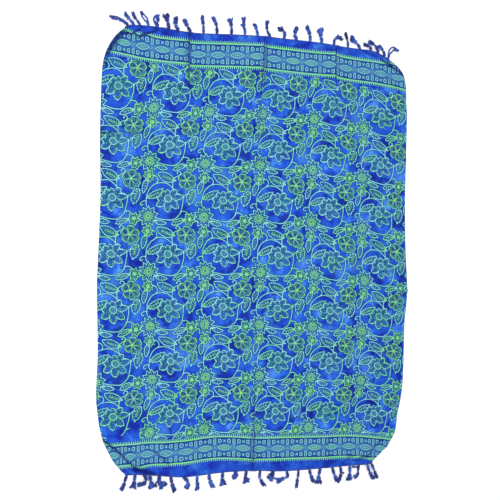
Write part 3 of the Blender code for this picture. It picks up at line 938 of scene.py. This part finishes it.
def draw_round_flower(chart, spot):
    """The round flower: six blunt lobes, whose reach adds powers of the sine of three times the angle, with
    one side fuller. Borders part the lobes, and each has a dark cleft, a lens, with a rib in it. Gives the
    way to the clefts.
    """
    x, y = spot.near(65.0, 65.0).turned(0.0)
    radius = length(x, y * 1.06)
    angle = y.math("ARCTAN2", x)
    angle = (angle + 0.8).math("SINE").times_plus(0.22, angle)
    bulge = abs((angle * 3.0).math("SINE"))
    lobes = bulge.math("POWER", 8.0).times_plus(-3.0, bulge.math("POWER", 0.5) * 14.0)
    lobes = (angle + 2.2).math("SINE").times_plus(2.4, lobes)
    lobes = radius - lobes - 21.0
    border = (bulge * radius * 0.33).most(radius - 21.5)
    folded = ((angle * (3 / math.pi)).math("FRACT") - 0.5) * radius * (math.pi / 3)
    cleft = lens(radius - 18.5, folded, 11.5, 6.2)
    rib = stroke(abs(folded), radius, 15.0, 24.0)
    chart.draw("lush", lobes)
    chart.draw("bold", abs(lobes), border + 0.5, radius - 2.8, abs(cleft) + 0.9, rib + 1.1)
    return cleft


def draw_small_flowers(chart, spot):
    """Three small flowers of pointed petals, the middle one a star round a ring of spokes."""
    x, y = spot.near(-69.0, 77.0).turned(0.0)
    ring, along, across, radius = petals(x, y, 8, 8.0, 5.0, 21.0, 5.2, 0.1)
    chart.draw("lush", ring)
    chart.draw("bold", abs(ring) + 0.2, abs(radius - 5.6) + 0.2, stroke(across, along, 7.0, 13.0) + 0.8)
    chart.draw("bold", radius - 1.5)

    x, y = spot.near(-68.0, -61.0).turned(0.0)
    ring, along, across, radius = petals(x, y, 10, 15.0, 12.0, 36.0, 7.6, 0.08)
    chart.draw("filled", ring)
    chart.draw("lush", radius - 15.5)
    chart.draw("fine", abs(ring).most((-radius) + 15.5), stroke(across, along, 17.0, 25.0) + 0.6)
    spokes, along, across, radius = petals(x, y, 12, 0.0, 8.0, 17.0, 2.4, 0.05)
    chart.draw("bold", abs(spokes) + 0.6, abs(radius - 5.5) + 0.2)

    x, y = spot.near(80.0, -70.0).turned(0.0)
    ring, along, across, radius = petals(x, y, 7, 30.0, 5.0, 23.0, 6.8, 0.1)
    chart.draw("lush", ring)
    chart.draw("bold", abs(ring), stroke(across, along, 6.0, 15.0) + 0.7, radius - 2.2)


def draw_flowers(spot):
    """The stamped repeat, in mm from the middle of the big flower: its layers, the way to the round flower's
    dark clefts, and the way from the big flower's middle.
    """
    chart = Chart()
    heart = draw_big_flower(chart, spot.near(0.0, 0.0))
    draw_vines(chart, spot)
    draw_leaves(chart, spot)
    cleft = draw_round_flower(chart, spot)
    draw_small_flowers(chart, spot)
    return chart.layers, cleft, heart


def draw_band(count, outwards):
    """The band between its two toothed lines, from eyes counted along it and mm outwards of its middle.

    Pointed eyes, each on two more lenses, stand in a row with posts between them. Over and under each eye lie
    two half moons with a cross between. Gives distances in mm: to the fine lines, to the insides of the eyes
    and posts, to the dark strokes beside the posts, to the dark edge lines, to the border rails, to their
    teeth and to the gaps between those, and off the middle line.
    """
    along = (count + 0.5).math("FRACT").times_plus(EYE_PITCH, -EYE_PITCH / 2)
    side = abs(outwards)
    beside = abs(along)
    eye = lens(along, outwards, 26.0, 8.6)
    lines = abs(eye)
    lines = lines.least(abs(lens(along, outwards, 35.0, 11.0)) + 0.75)
    lines = lines.least(abs(lens(along, outwards, 15.0, 3.0)) + 0.8)
    lines = lines.least(stroke(side, beside, 0.0, 7.0) + 0.4)

    moon_x = beside - 18.0
    moon_y = side - 22.5
    moon = (length(moon_x * 0.95, moon_y * 1.06) - 6.3).most(moon_x - 4.0)
    lines = lines.least(abs(moon) - 0.3).least(length(moon_x, moon_y * 0.6) - 0.2)

    cross = abs(beside - abs(moon_y)) * 0.7
    cross = cross.most(beside - 3.6).most(abs(moon_y) - 3.6)
    lines = lines.least(cross - 0.15)

    post_x = (-beside) + EYE_PITCH / 2
    post_y = abs(moon_y + 1.0)
    post = length(post_x, (post_y - 6.2).most(0.0)) - 4.4
    lines = lines.least(abs(post)).least(post_x.most(post_y - 5.0) + 1.0)
    knot = abs(post_x - side * 1.4).most(side - 6.0)
    lines = lines.least(knot + 0.2)
    cell = abs(post_x - 8.2).most((-side) + 12.0).most(side - 33.0)

    bar = side - 36.9
    rail = abs(bar) - 1.9
    tooth = (count * EYE_PITCH).repeat(7.4) + bar * 0.12 - 2.1
    ragged = (count * EYE_PITCH * 0.37).math("SINE").times_plus(1.2, -9.2)
    teeth = tooth.most(-bar).most(bar + ragged)
    gaps = (-bar).most(bar + ragged - 0.8)
    return {
        "lines": lines,
        "eye": eye.least(post),
        "cell": cell,
        "edge": abs(side - 32.6),
        "rail": rail,
        "teeth": teeth,
        "gaps": gaps,
        "side": side,
    }


def mix(tree, factor, first, second):
    """A colour Mix node: first where the factor is 0, second where it is 1."""
    node = tree.nodes.new("ShaderNodeMix")
    node.data_type = "RGBA"
    for item, place in ((factor, node.inputs[0]), (first, node.inputs[6]), (second, node.inputs[7])):
        if isinstance(item, Number):
            tree.links.new(item.socket, place)
        elif isinstance(item, bpy.types.NodeSocket):
            tree.links.new(item, place)
        else:
            place.default_value = item
    return node.outputs[2]


def overlay(tree, base, layers):
    """Lays dyes and painted shade one over another: each layer is how much of it shows, and a colour's name
    or colour socket.
    """
    for share, dye in layers:
        base = mix(tree, share, base, tint(DYES_AND_SHADE[dye]) if isinstance(dye, str) else dye)
    return base


def blend(tree, share, first, second):
    """The first dye where the share is 0, the second where it is 1."""
    return mix(tree, share, tint(DYES_AND_SHADE[first]), tint(DYES_AND_SHADE[second]))


def noise_node(tree, where, scale, detail, roughness):
    """A Noise Texture read at a place."""
    node = tree.nodes.new("ShaderNodeTexNoise")
    node.inputs["Scale"].default_value = scale
    node.inputs["Detail"].default_value = detail
    node.inputs["Roughness"].default_value = roughness
    tree.links.new(where, node.inputs["Vector"])
    return node


def noise(tree, where, scale, detail, roughness):
    """A Noise Texture's value at a place."""
    return Number(tree, noise_node(tree, where, scale, detail, roughness).outputs["Fac"])


def ramp(tree, factor, dyes):
    """A Color Ramp over dyes given as place and screen colour."""
    node = tree.nodes.new("ShaderNodeValToRGB")
    band = node.color_ramp
    while len(band.elements) < len(dyes):
        band.elements.new(0.5)
    for element, (place, screen) in zip(band.elements, dyes):
        element.position = place
        element.color = tint(screen)
    tree.links.new(factor.socket, node.inputs["Fac"])
    return node.outputs["Color"]


def new_material(name, finish):
    """A new material, its node tree and its shader, whose sockets are set to a finish."""
    material = bpy.data.materials.new(name)
    material.use_nodes = True
    tree = material.node_tree
    shader = tree.nodes["Principled BSDF"]
    for socket, value in finish.items():
        shader.inputs[socket].default_value = value
    return material, tree, shader


def add_relief(tree, shader, height, strength):
    """Small relief: a Bump node over a height in metres."""
    bump = tree.nodes.new("ShaderNodeBump")
    bump.inputs["Strength"].default_value = strength
    bump.inputs["Distance"].default_value = 1.0
    tree.links.new(height.socket, bump.inputs["Height"])
    tree.links.new(bump.outputs["Normal"], shader.inputs["Normal"])


def uv_numbers(tree, name):
    """A piece's UV map as a place and as its two numbers."""
    node = tree.nodes.new("ShaderNodeUVMap")
    node.uv_map = name
    split = tree.nodes.new("ShaderNodeSeparateXYZ")
    tree.links.new(node.outputs["UV"], split.inputs[0])
    return node.outputs["UV"], Number(tree, split.outputs["X"]), Number(tree, split.outputs["Y"])


def drawn_spot(tree, here, stamps):
    """The place on the stamped flowers, moved by a noise, at most 3 mm, so that the lines look hand drawn."""
    sway = noise_node(tree, here, 34.0, 2.0, 0.5)
    drawn = tree.nodes.new("ShaderNodeVectorMath")
    drawn.operation = "MULTIPLY_ADD"
    tree.links.new(sway.outputs["Color"], drawn.inputs[0])
    drawn.inputs[1].default_value = (6.0, 6.0, 0.0)
    tree.links.new(stamps, drawn.inputs[2])
    return Point(tree, drawn.outputs["Vector"]).less(3.0, 3.0)


def flower_field(tree, here, outwards, stamp_y):
    """1 where the stamped flowers are, and 0 in the bands, past the last row and on the plain panel."""
    place = tree.nodes.new("ShaderNodeSeparateXYZ")
    tree.links.new(here, place.inputs[0])
    field = outwards.below(-37.0, 1.0) * stamp_y.below(97.0, 1.0)
    for middle_x, middle_y, half_x, half_y in PLAIN_PANEL:
        off_x = abs(Number(tree, place.outputs["X"]) - middle_x) - half_x
        off_y = abs(Number(tree, place.outputs["Y"]) - middle_y) - half_y
        field = field * (-off_x.most(off_y)).below(0.0, 0.001)
    return field


def printed_rayon():
    """Rayon dyed in mottled blues, with wax-line flowers, printed bands, shade painted along its folds and
    creases, a fine weave and soft crumples.
    """
    material, tree, shader = new_material("printed_rayon_dressed", RAYON_FINISH)
    here = tree.nodes.new("ShaderNodeTexCoord").outputs["Object"]
    stamps, stamp_x, stamp_y = uv_numbers(tree, "stamps")
    bands, count, outwards = uv_numbers(tree, "bands")
    # How dark the painted shade of the folds and creases is, at each point
    crease = tree.nodes.new("ShaderNodeAttribute")
    crease.attribute_name = "crease"
    crease = Number(tree, crease.outputs["Fac"])

    cloud = noise(tree, here, 17.0, 5.0, 0.6)
    pool = noise(tree, here, 13.0, 3.0, 0.55)
    glow = noise(tree, here, 9.0, 4.0, 0.6)
    grain = noise(tree, here, 170.0, 3.0, 0.7)
    worn = noise(tree, here, 95.0, 2.0, 0.6) * 1.6
    fresh = noise(tree, here, 11.0, 2.0, 0.5)

    flowers, cleft, heart = draw_flowers(drawn_spot(tree, here, stamps))
    fine = flowers["fine"] + worn
    bold = flowers["bold"] + worn
    band = draw_band(count, outwards)
    side = band["side"]
    in_field = flower_field(tree, here, outwards, stamp_y)
    in_band = side.below(37.0, 1.0)

    band_cloth = overlay(tree, blend(tree, cloud.below(0.5, 0.14), "band_pale", "band_deep"), (
        (side.below(13.0, 8.0) * 0.6, "band_middle"),
        (grain.below(0.5, 0.2) * 0.4, "band_grain"),
    ))
    eye_fill = overlay(tree, blend(tree, fresh.below(0.44, 0.12), "eye_blue", "eye_green"), (
        (grain.below(0.5, 0.25) * 0.5, "eye_grain"),
    ))
    mint = blend(tree, fresh.below(0.54, 0.2), "mint_green", "mint_blue")
    lime = blend(tree, fresh.below(0.48, 0.2), "lime", "lime_mint")
    rail_lime = blend(tree, fresh.below(0.5, 0.2), "rail_lime", "rail_mint")

    base = overlay(tree, ramp(tree, cloud, GROUND_DYES), (
        (pool.below(0.43, 0.05) * 0.75, "pool"),
        ((-glow).below(-0.59, 0.07) * 0.36, "glow"),
        (grain.below(0.44, 0.2) * 0.3, "grain"),
        ((-outwards).below(-42.0, 4.0) * 0.34, "hem"),
        (in_band, band_cloth),
        (flowers["filled"].below(0.0, 1.5) * in_field * 0.4, "flower"),
        (heart.below(20.0, 9.0) * in_field * 0.6, "flower_middle"),
        (flowers["lush"].below(0.0, 1.5) * in_field * 0.75, "flower_green"),
        (fine.least(bold).below(4.7, 1.9) * in_field * 0.80, "halo"),
        (heart.below(10.6, 1.2) * in_field * 0.45, "flower_heart"),
        (cleft.below(0.0, 1.4) * in_field * 0.85, "flower_cleft"),
        (fine.below(2.05, 0.8) * in_field, mint),
        (bold.below(2.10, 0.8) * in_field, lime),
        (band["cell"].below(0.5, 0.8) * in_band * 0.7, "band_cell"),
        (band["lines"].below(3.0, 1.4) * in_band * 0.78, "band_halo"),
        (band["eye"].below(0.0, 1.0) * in_band * 0.7, eye_fill),
        (band["lines"].below(0.95, 0.8) * in_band * 0.92, "band_line"),
        (band["edge"].below(1.9, 0.8) * 0.85, "band_edge"),
        (band["gaps"].below(0.0, 1.0) * 0.88, "tooth_gap"),
        (band["teeth"].below(0.0, 0.9) * 0.95, "tooth"),
        (band["rail"].below(0.0, 0.9) * 0.95, rail_lime),
        # Painted shade: dark navy along the folds and creases
        (crease.times_plus(1.15, 0.0, clamp=True) * 0.88, "fold"),
    ))
    tree.links.new(base, shader.inputs["Base Color"])

    wide = (stamp_x * (2 * math.pi / THREAD_PITCH)).math("SINE")
    tall = (stamp_y * (2 * math.pi / THREAD_PITCH)).math("SINE")
    crumple = noise(tree, here, 60.0, 3.0, 0.6)
    add_relief(tree, shader, wide * tall * WEAVE_HEIGHT + crumple * CRUMPLE_HEIGHT, 0.6)
    return material


def fringe_thread():
    """Loosely twisted dyed yarn: dark blue with paler fibres along the twist."""
    material, tree, shader = new_material("fringe_thread_dressed", YARN_FINISH)
    here = tree.nodes.new("ShaderNodeTexCoord").outputs["Object"]
    colour = ramp(tree, noise(tree, here, 40.0, 3.0, 0.6), YARN_DYES)
    tree.links.new(colour, shader.inputs["Base Color"])
    place, around, along = uv_numbers(tree, "yarn")
    fibre = (around * 6.0 + along).repeat(1.0)
    fuzz = noise(tree, here, 900.0, 2.0, 0.6)
    add_relief(tree, shader, fibre * 0.0005 + fuzz * 0.0002, 0.7)
    return material


def end_line(end, first, last):
    """The cloth's rim along one end, from left to right, with both corners' turns, cut off at two x."""
    x, y = cloth_grid()
    if end < 0:
        x = x[::-1]
        y = y[::-1]
    line_x = np.concatenate([x[:-1, 0], x[-1], x[-2::-1, -1]])
    line_y = np.concatenate([y[:-1, 0], y[-1], y[-2::-1, -1]])
    near_end = end * line_y > LENGTH / 2 - END_BLEND / 2
    line_x = line_x[near_end]
    line_y = line_y[near_end]
    inner = (line_x > first) & (line_x < last)
    cut_y = np.interp([first, last], line_x, line_y)
    cut_x = np.concatenate([[first], line_x[inner], [last]])
    return cut_x, np.concatenate([cut_y[:1], line_y[inner], cut_y[1:]])


def outward(line_x, line_y, end):
    """The level normals of a line that runs from left to right, on the side away from the cloth."""
    run_x = np.gradient(line_x)
    run_y = np.gradient(line_y)
    reach = np.hypot(run_x, run_y)
    return -end * run_y / reach, end * run_x / reach


def tube(points, radius, sides):
    """A closed tube along a path: rings of points round it, square to its run, each end drawn to a point."""
    run = np.gradient(points, axis=0)
    run /= np.maximum(np.linalg.norm(run, axis=1, keepdims=True), 1e-9)
    up = np.array([0.0, 0.0, 1.0])
    across = np.cross(run, up)
    flat = np.linalg.norm(across, axis=1, keepdims=True)
    across = np.where(flat > 0.05, across / np.maximum(flat, 1e-9), np.array([1.0, 0.0, 0.0]))
    third = np.cross(across, run)
    turn = np.linspace(0.0, 2 * math.pi, sides, endpoint=False)
    ring = across[:, None] * np.cos(turn)[:, None] + third[:, None] * np.sin(turn)[:, None]
    body = points[:, None] + ring * radius[:, None, None]
    first = np.repeat(points[:1, None], sides, axis=1)
    last = np.repeat(points[-1:, None], sides, axis=1)
    body = np.concatenate([first, body, last])
    rings = len(body)
    index = np.arange(rings * sides).reshape(rings, sides)
    right = np.roll(index, -1, axis=1)
    faces = np.stack([index[:-1], index[1:], right[1:], right[:-1]], axis=-1).reshape(-1, 4)
    way = np.concatenate([[0.0], np.cumsum(np.linalg.norm(np.diff(body.mean(axis=1), axis=0), axis=1))])
    around = np.arange(sides + 1) / sides
    left_u = np.broadcast_to(around[:-1], (rings - 1, sides))
    right_u = np.broadcast_to(around[1:], (rings - 1, sides))
    low_v = np.broadcast_to(way[:-1, None] * 500, (rings - 1, sides))
    high_v = np.broadcast_to(way[1:, None] * 500, (rings - 1, sides))
    uv = np.stack([
        np.stack([left_u, low_v], axis=-1),
        np.stack([left_u, high_v], axis=-1),
        np.stack([right_u, high_v], axis=-1),
        np.stack([right_u, low_v], axis=-1),
    ], axis=2).reshape(-1, 2)
    return body.reshape(-1, 3), faces, uv


def path_frame(points, way):
    """Places along a smooth line through points, and the direction there. Past its end it runs straight."""
    steps = np.hypot(*np.diff(points, axis=0).T)
    gone = np.concatenate([[0.0], np.cumsum(steps)]) / steps.sum()
    kept = np.clip(way, 0.0, 1.0)
    place = np.stack([through(kept, gone, points[:, axis]) for axis in (0, 1)], axis=-1)
    ahead = np.minimum(kept + 0.02, 1.0)
    behind = np.maximum(kept - 0.02, 0.0)
    run = np.stack([
        through(ahead, gone, points[:, axis]) - through(behind, gone, points[:, axis]) for axis in (0, 1)
    ], axis=-1)
    run /= np.linalg.norm(run, axis=1, keepdims=True)
    return place + (way - kept)[:, None] * steps.sum() * run, run


def twisted_plies(width, run, knot_at, end, phase, count):
    """Two plies twisted round each other down to the knot: a sine and a cosine of the turns, thinner where
    they leave the cloth. Where they part for a loop, ring or eye, one smooth step opens them and one closes
    them.
    """
    way = np.linspace(0.0, knot_at, count)
    share = way / knot_at
    apart = smooth_step((share - end["opens"]) / 0.2) * smooth_step((1.0 - share) / 0.16)
    taper = smooth_step(way / 0.2 + 0.3)
    plies = []
    for start, side, part in ((0.0, -1, 0.8), (math.pi, 1, 1.0)):
        turn = 2 * math.pi * run * way / (TURN_LENGTH * width) + start + phase
        swell = 1.0 + 0.10 * np.sin(way * 23.0 + phase + start)
        aside = 0.22 * width * np.cos(turn) * taper * (1 - apart)
        aside = aside + side * part * apart * end["opening"] * width
        rise = 0.15 * width * np.sin(turn) * taper * (1 - apart)
        radius = 0.27 * width * (0.62 + 0.38 * taper) * (1 - 0.15 * apart) * swell
        plies.append((way, aside, rise, radius, 9))
    return plies


def knot_coils(width, run, knot_at, chance):
    """A knot of two coils: each a circle round the plies, flattened, and slanted by a sine."""
    around = np.linspace(0.0, 2 * math.pi, 26)
    coils = []
    for coil, shift in enumerate((-0.14, 0.16)):
        way = knot_at + (shift + 0.10 * np.sin(around + coil)) * width / run
        wide = width * chance.uniform(0.34, 0.42)
        rise = 0.22 * width * np.sin(around)
        coils.append((way, wide * np.cos(around), rise, np.full(26, 0.21 * width), 7))
    return coils


def tuft(kind, width, knot_at, end, chance):
    """A blunt tuft of matted threads below the knot: each starts on a spiral of even turns in the knot,
    flares out by a smooth step and wavers by a sine. A fork's threads part to both sides, and a third of a
    side's to one.
    """
    slant = chance.uniform(-0.10, 0.10)
    threads = []
    for thread in range(end["threads"]):
        out = math.sqrt((thread + 0.5) / end["threads"])
        turn = thread * 2.4
        s = np.linspace(0.0, 1.0, 12)
        share = out * math.cos(turn)
        far = end["reach"] + chance.uniform(-0.10, 0.05) + slant * share
        aside = width * share * (0.30 + (end["flare"] - 0.30) * smooth_step(s * 1.3))
        if kind == "fork":
            aside = aside + width * (0.62 if thread % 2 else -0.62) * s**1.2
        if kind == "side" and thread % 3 == 0:
            aside = aside + 0.95 * width * s
        wave = chance.uniform(0.03, 0.09) * width
        aside = aside + wave * np.sin(chance.uniform(3.0, 7.0) * s + chance.uniform(0, 6.3)) * s
        rise = width * 0.24 * out * math.sin(turn) * (1 - 0.3 * s) + 0.03 * width * np.sin(7 * s + thread)
        radius = np.linspace(0.15, 0.12, 12) * width * chance.uniform(0.8, 1.15)
        threads.append((knot_at + s * (far - knot_at), aside, rise, radius, 5))
    return threads


def stray_fibres(count, width, chance):
    """Thin fibres that stand off the tassel, on either side by turns."""
    fibres = []
    for fibre in range(count):
        s = np.linspace(0.0, 1.0, 9)
        start = chance.uniform(0.08, 0.9)
        side = 1 if fibre % 2 else -1
        way = start + s * chance.uniform(0.05, 0.22)
        aside = side * width * (0.34 + chance.uniform(0.10, 0.42) * s + 0.08 * np.sin(5 * s + fibre))
        rise = width * 0.15 * s * chance.uniform(-1, 1)
        fibres.append((way, aside, rise, np.linspace(0.45, 0.25, 9), 4))
    return fibres


def tassel_yarns(kind, width, run, chance):
    """The yarns of one tassel: share of the way along, mm aside and mm up, radii in mm, and sides.

    A prong is a loose strand of another tassel's tuft: it is shorter and has no knot.
    """
    end = dict(zip(TASSEL_COLUMNS, TASSEL_ENDS[kind]))
    prong = kind == "prong"
    knot_at = end["knot"] + chance.uniform(-0.05, 0.05)
    phase = chance.uniform(0, 2 * math.pi)
    yarns = twisted_plies(width, run, knot_at, end, phase, 16 if prong else 44)
    if not prong:
        yarns += knot_coils(width, run, knot_at, chance)
    yarns += tuft(kind, width, knot_at, end, chance)
    return yarns + stray_fibres(3 if prong else 9, width, chance)


def make_fringe(name, rows, end, shift):
    """One end's fringe: the bound edge of the cloth and its tassels, laid on the floor."""
    chance = np.random.default_rng(20 + end)
    line_x, line_y = end_line(end, *STRIP_SPAN[end])
    normal_x, normal_y = outward(line_x, line_y, end)
    height = lift(line_x, line_y)
    tubes = []
    for seat, thick in STRIP_THREADS:
        off = SEAM_GAP + seat
        strip = np.stack([line_x + off * normal_x, line_y + off * normal_y, height + thick], axis=-1)
        tubes.append(tube(strip, np.full(len(strip), thick), 6))

    for kind, width, *marks in rows:
        marks = np.array(marks, dtype=float) / 1000
        base = 0.0
        if kind != "prong":
            root_x = marks[0, 0]
            edge_y = np.interp(root_x, line_x, line_y)
            base = float(lift(np.array([root_x]), np.array([edge_y]))[0])
            marks[0] = (
                root_x + ROOT_OUT * np.interp(root_x, line_x, normal_x),
                edge_y + ROOT_OUT * np.interp(root_x, line_x, normal_y),
            )
        width = width * YARN_WIDEN
        run = 1000 * np.hypot(*np.diff(marks, axis=0).T).sum()
        for way, aside, rise, radius, sides in tassel_yarns(kind, width, run, chance):
            plan, heading = path_frame(marks, way)
            plan = plan + np.stack([heading[:, 1], -heading[:, 0]], axis=-1) * (aside / 1000)[:, None]
            middle = 0.36 * width * (0.3 + 0.7 * smooth_step(way / 0.14))
            raised = middle + rise + base * 1000 * (1 - np.clip(way, 0, 1))
            raised = np.maximum(raised, radius * 0.98 + 0.05)
            line = np.concatenate([plan, raised[:, None] / 1000], axis=1)
            tubes.append(tube(line, radius / 1000, sides))

    firsts = np.cumsum([0] + [len(part[0]) for part in tubes])
    points = np.concatenate([part[0] for part in tubes]) + np.array([shift[0], shift[1], 0.0])
    faces = np.concatenate([part[1] + first for part, first in zip(tubes, firsts)])
    fringe = mesh_piece(name, points, faces)
    layer = fringe.data.uv_layers.new(name="yarn")
    uv = np.concatenate([part[2] for part in tubes])
    layer.uv.foreach_set("vector", uv.astype(np.float32).ravel())
    return fringe


def make_floor():
    """A plain pale floor, a hair under the plane z = 0 that the sarong lies on."""
    mesh = bpy.data.meshes.new("floor")
    half = 6.0
    corners = [(-half, -half, 0), (half, -half, 0), (half, half, 0), (-half, half, 0)]
    mesh.from_pydata(corners, [], [(0, 1, 2, 3)])
    floor = bpy.data.objects.new("floor", mesh)
    bpy.context.scene.collection.objects.link(floor)
    floor.location = (0, 0, -FLOOR_DROP)
    mesh.materials.append(new_material("studio_floor", FLOOR_FINISH)[0])


def make_lights():
    """Soft light from a wide panel overhead and a pale surrounding."""
    bpy.context.scene.view_settings.view_transform = "Standard"
    world = bpy.data.worlds.new("studio")
    bpy.context.scene.world = world
    world.use_nodes = True
    sky = world.node_tree.nodes["Background"]
    sky.inputs["Color"].default_value = (1.0, 1.0, 1.0, 1.0)
    sky.inputs["Strength"].default_value = 0.70
    for name, place, size, power in (
        ("panel_over", (-0.4, 1.2, 2.7), 1.6, 46.0),
        ("panel_side", (-1.2, -1.6, 2.3), 1.6, 26.0),
    ):
        lamp = bpy.data.lights.new(name, "AREA")
        lamp.size = size
        lamp.energy = power
        thing = bpy.data.objects.new(name, lamp)
        thing.location = place
        thing.rotation_mode = "QUATERNION"
        thing.rotation_quaternion = (-Vector(place)).to_track_quat("-Z", "Y")
        bpy.context.scene.collection.objects.link(thing)


def make_camera(shift):
    """The photograph's camera: nearly overhead, from the left."""
    data = bpy.data.cameras.new("camera")
    data.sensor_width = SENSOR
    data.lens = FOCAL_PIXELS / PICTURE_PIXELS * SENSOR
    data.clip_end = 50.0
    camera = bpy.data.objects.new("camera", data)
    turns = [math.radians(turn) for turn in CAMERA_TURNS]
    rotation = Matrix.Rotation(turns[0], 3, "X") @ Matrix.Rotation(turns[1], 3, "Y")
    rotation = rotation @ Matrix.Rotation(turns[2], 3, "Z")
    camera.rotation_mode = "QUATERNION"
    camera.rotation_quaternion = rotation.to_quaternion()
    camera.location = Vector(CAMERA_PLACE) + Vector((shift[0], shift[1], 0.0))
    bpy.context.scene.collection.objects.link(camera)
    bpy.context.scene.camera = camera


def centring_shift():
    """The step from the cloth's own frame to the row frame, from where the CAD cloth lies."""
    low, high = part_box("cloth")
    x, y = cloth_grid()
    own = ((x.min() + x.max()) / 2, (y.min() + y.max()) / 2)
    return ((low.x + high.x) / 2 - own[0], (low.y + high.y) / 2 - own[1])


def main():
    shift = centring_shift()
    make_camera(shift)
    cloth = make_cloth(shift)
    cloth.data.materials.append(printed_rayon())
    thread = fringe_thread()
    for name, rows, end in (("fringe_top", FAR_TASSELS, 1), ("fringe_bottom", NEAR_TASSELS, -1)):
        fringe = make_fringe(name + "_yarn", rows, end, shift)
        fringe.data.materials.append(thread)
        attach(fringe, "root")
        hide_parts(name)
    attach(cloth, "root")
    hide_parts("cloth")
    make_floor()
    make_lights()


main()
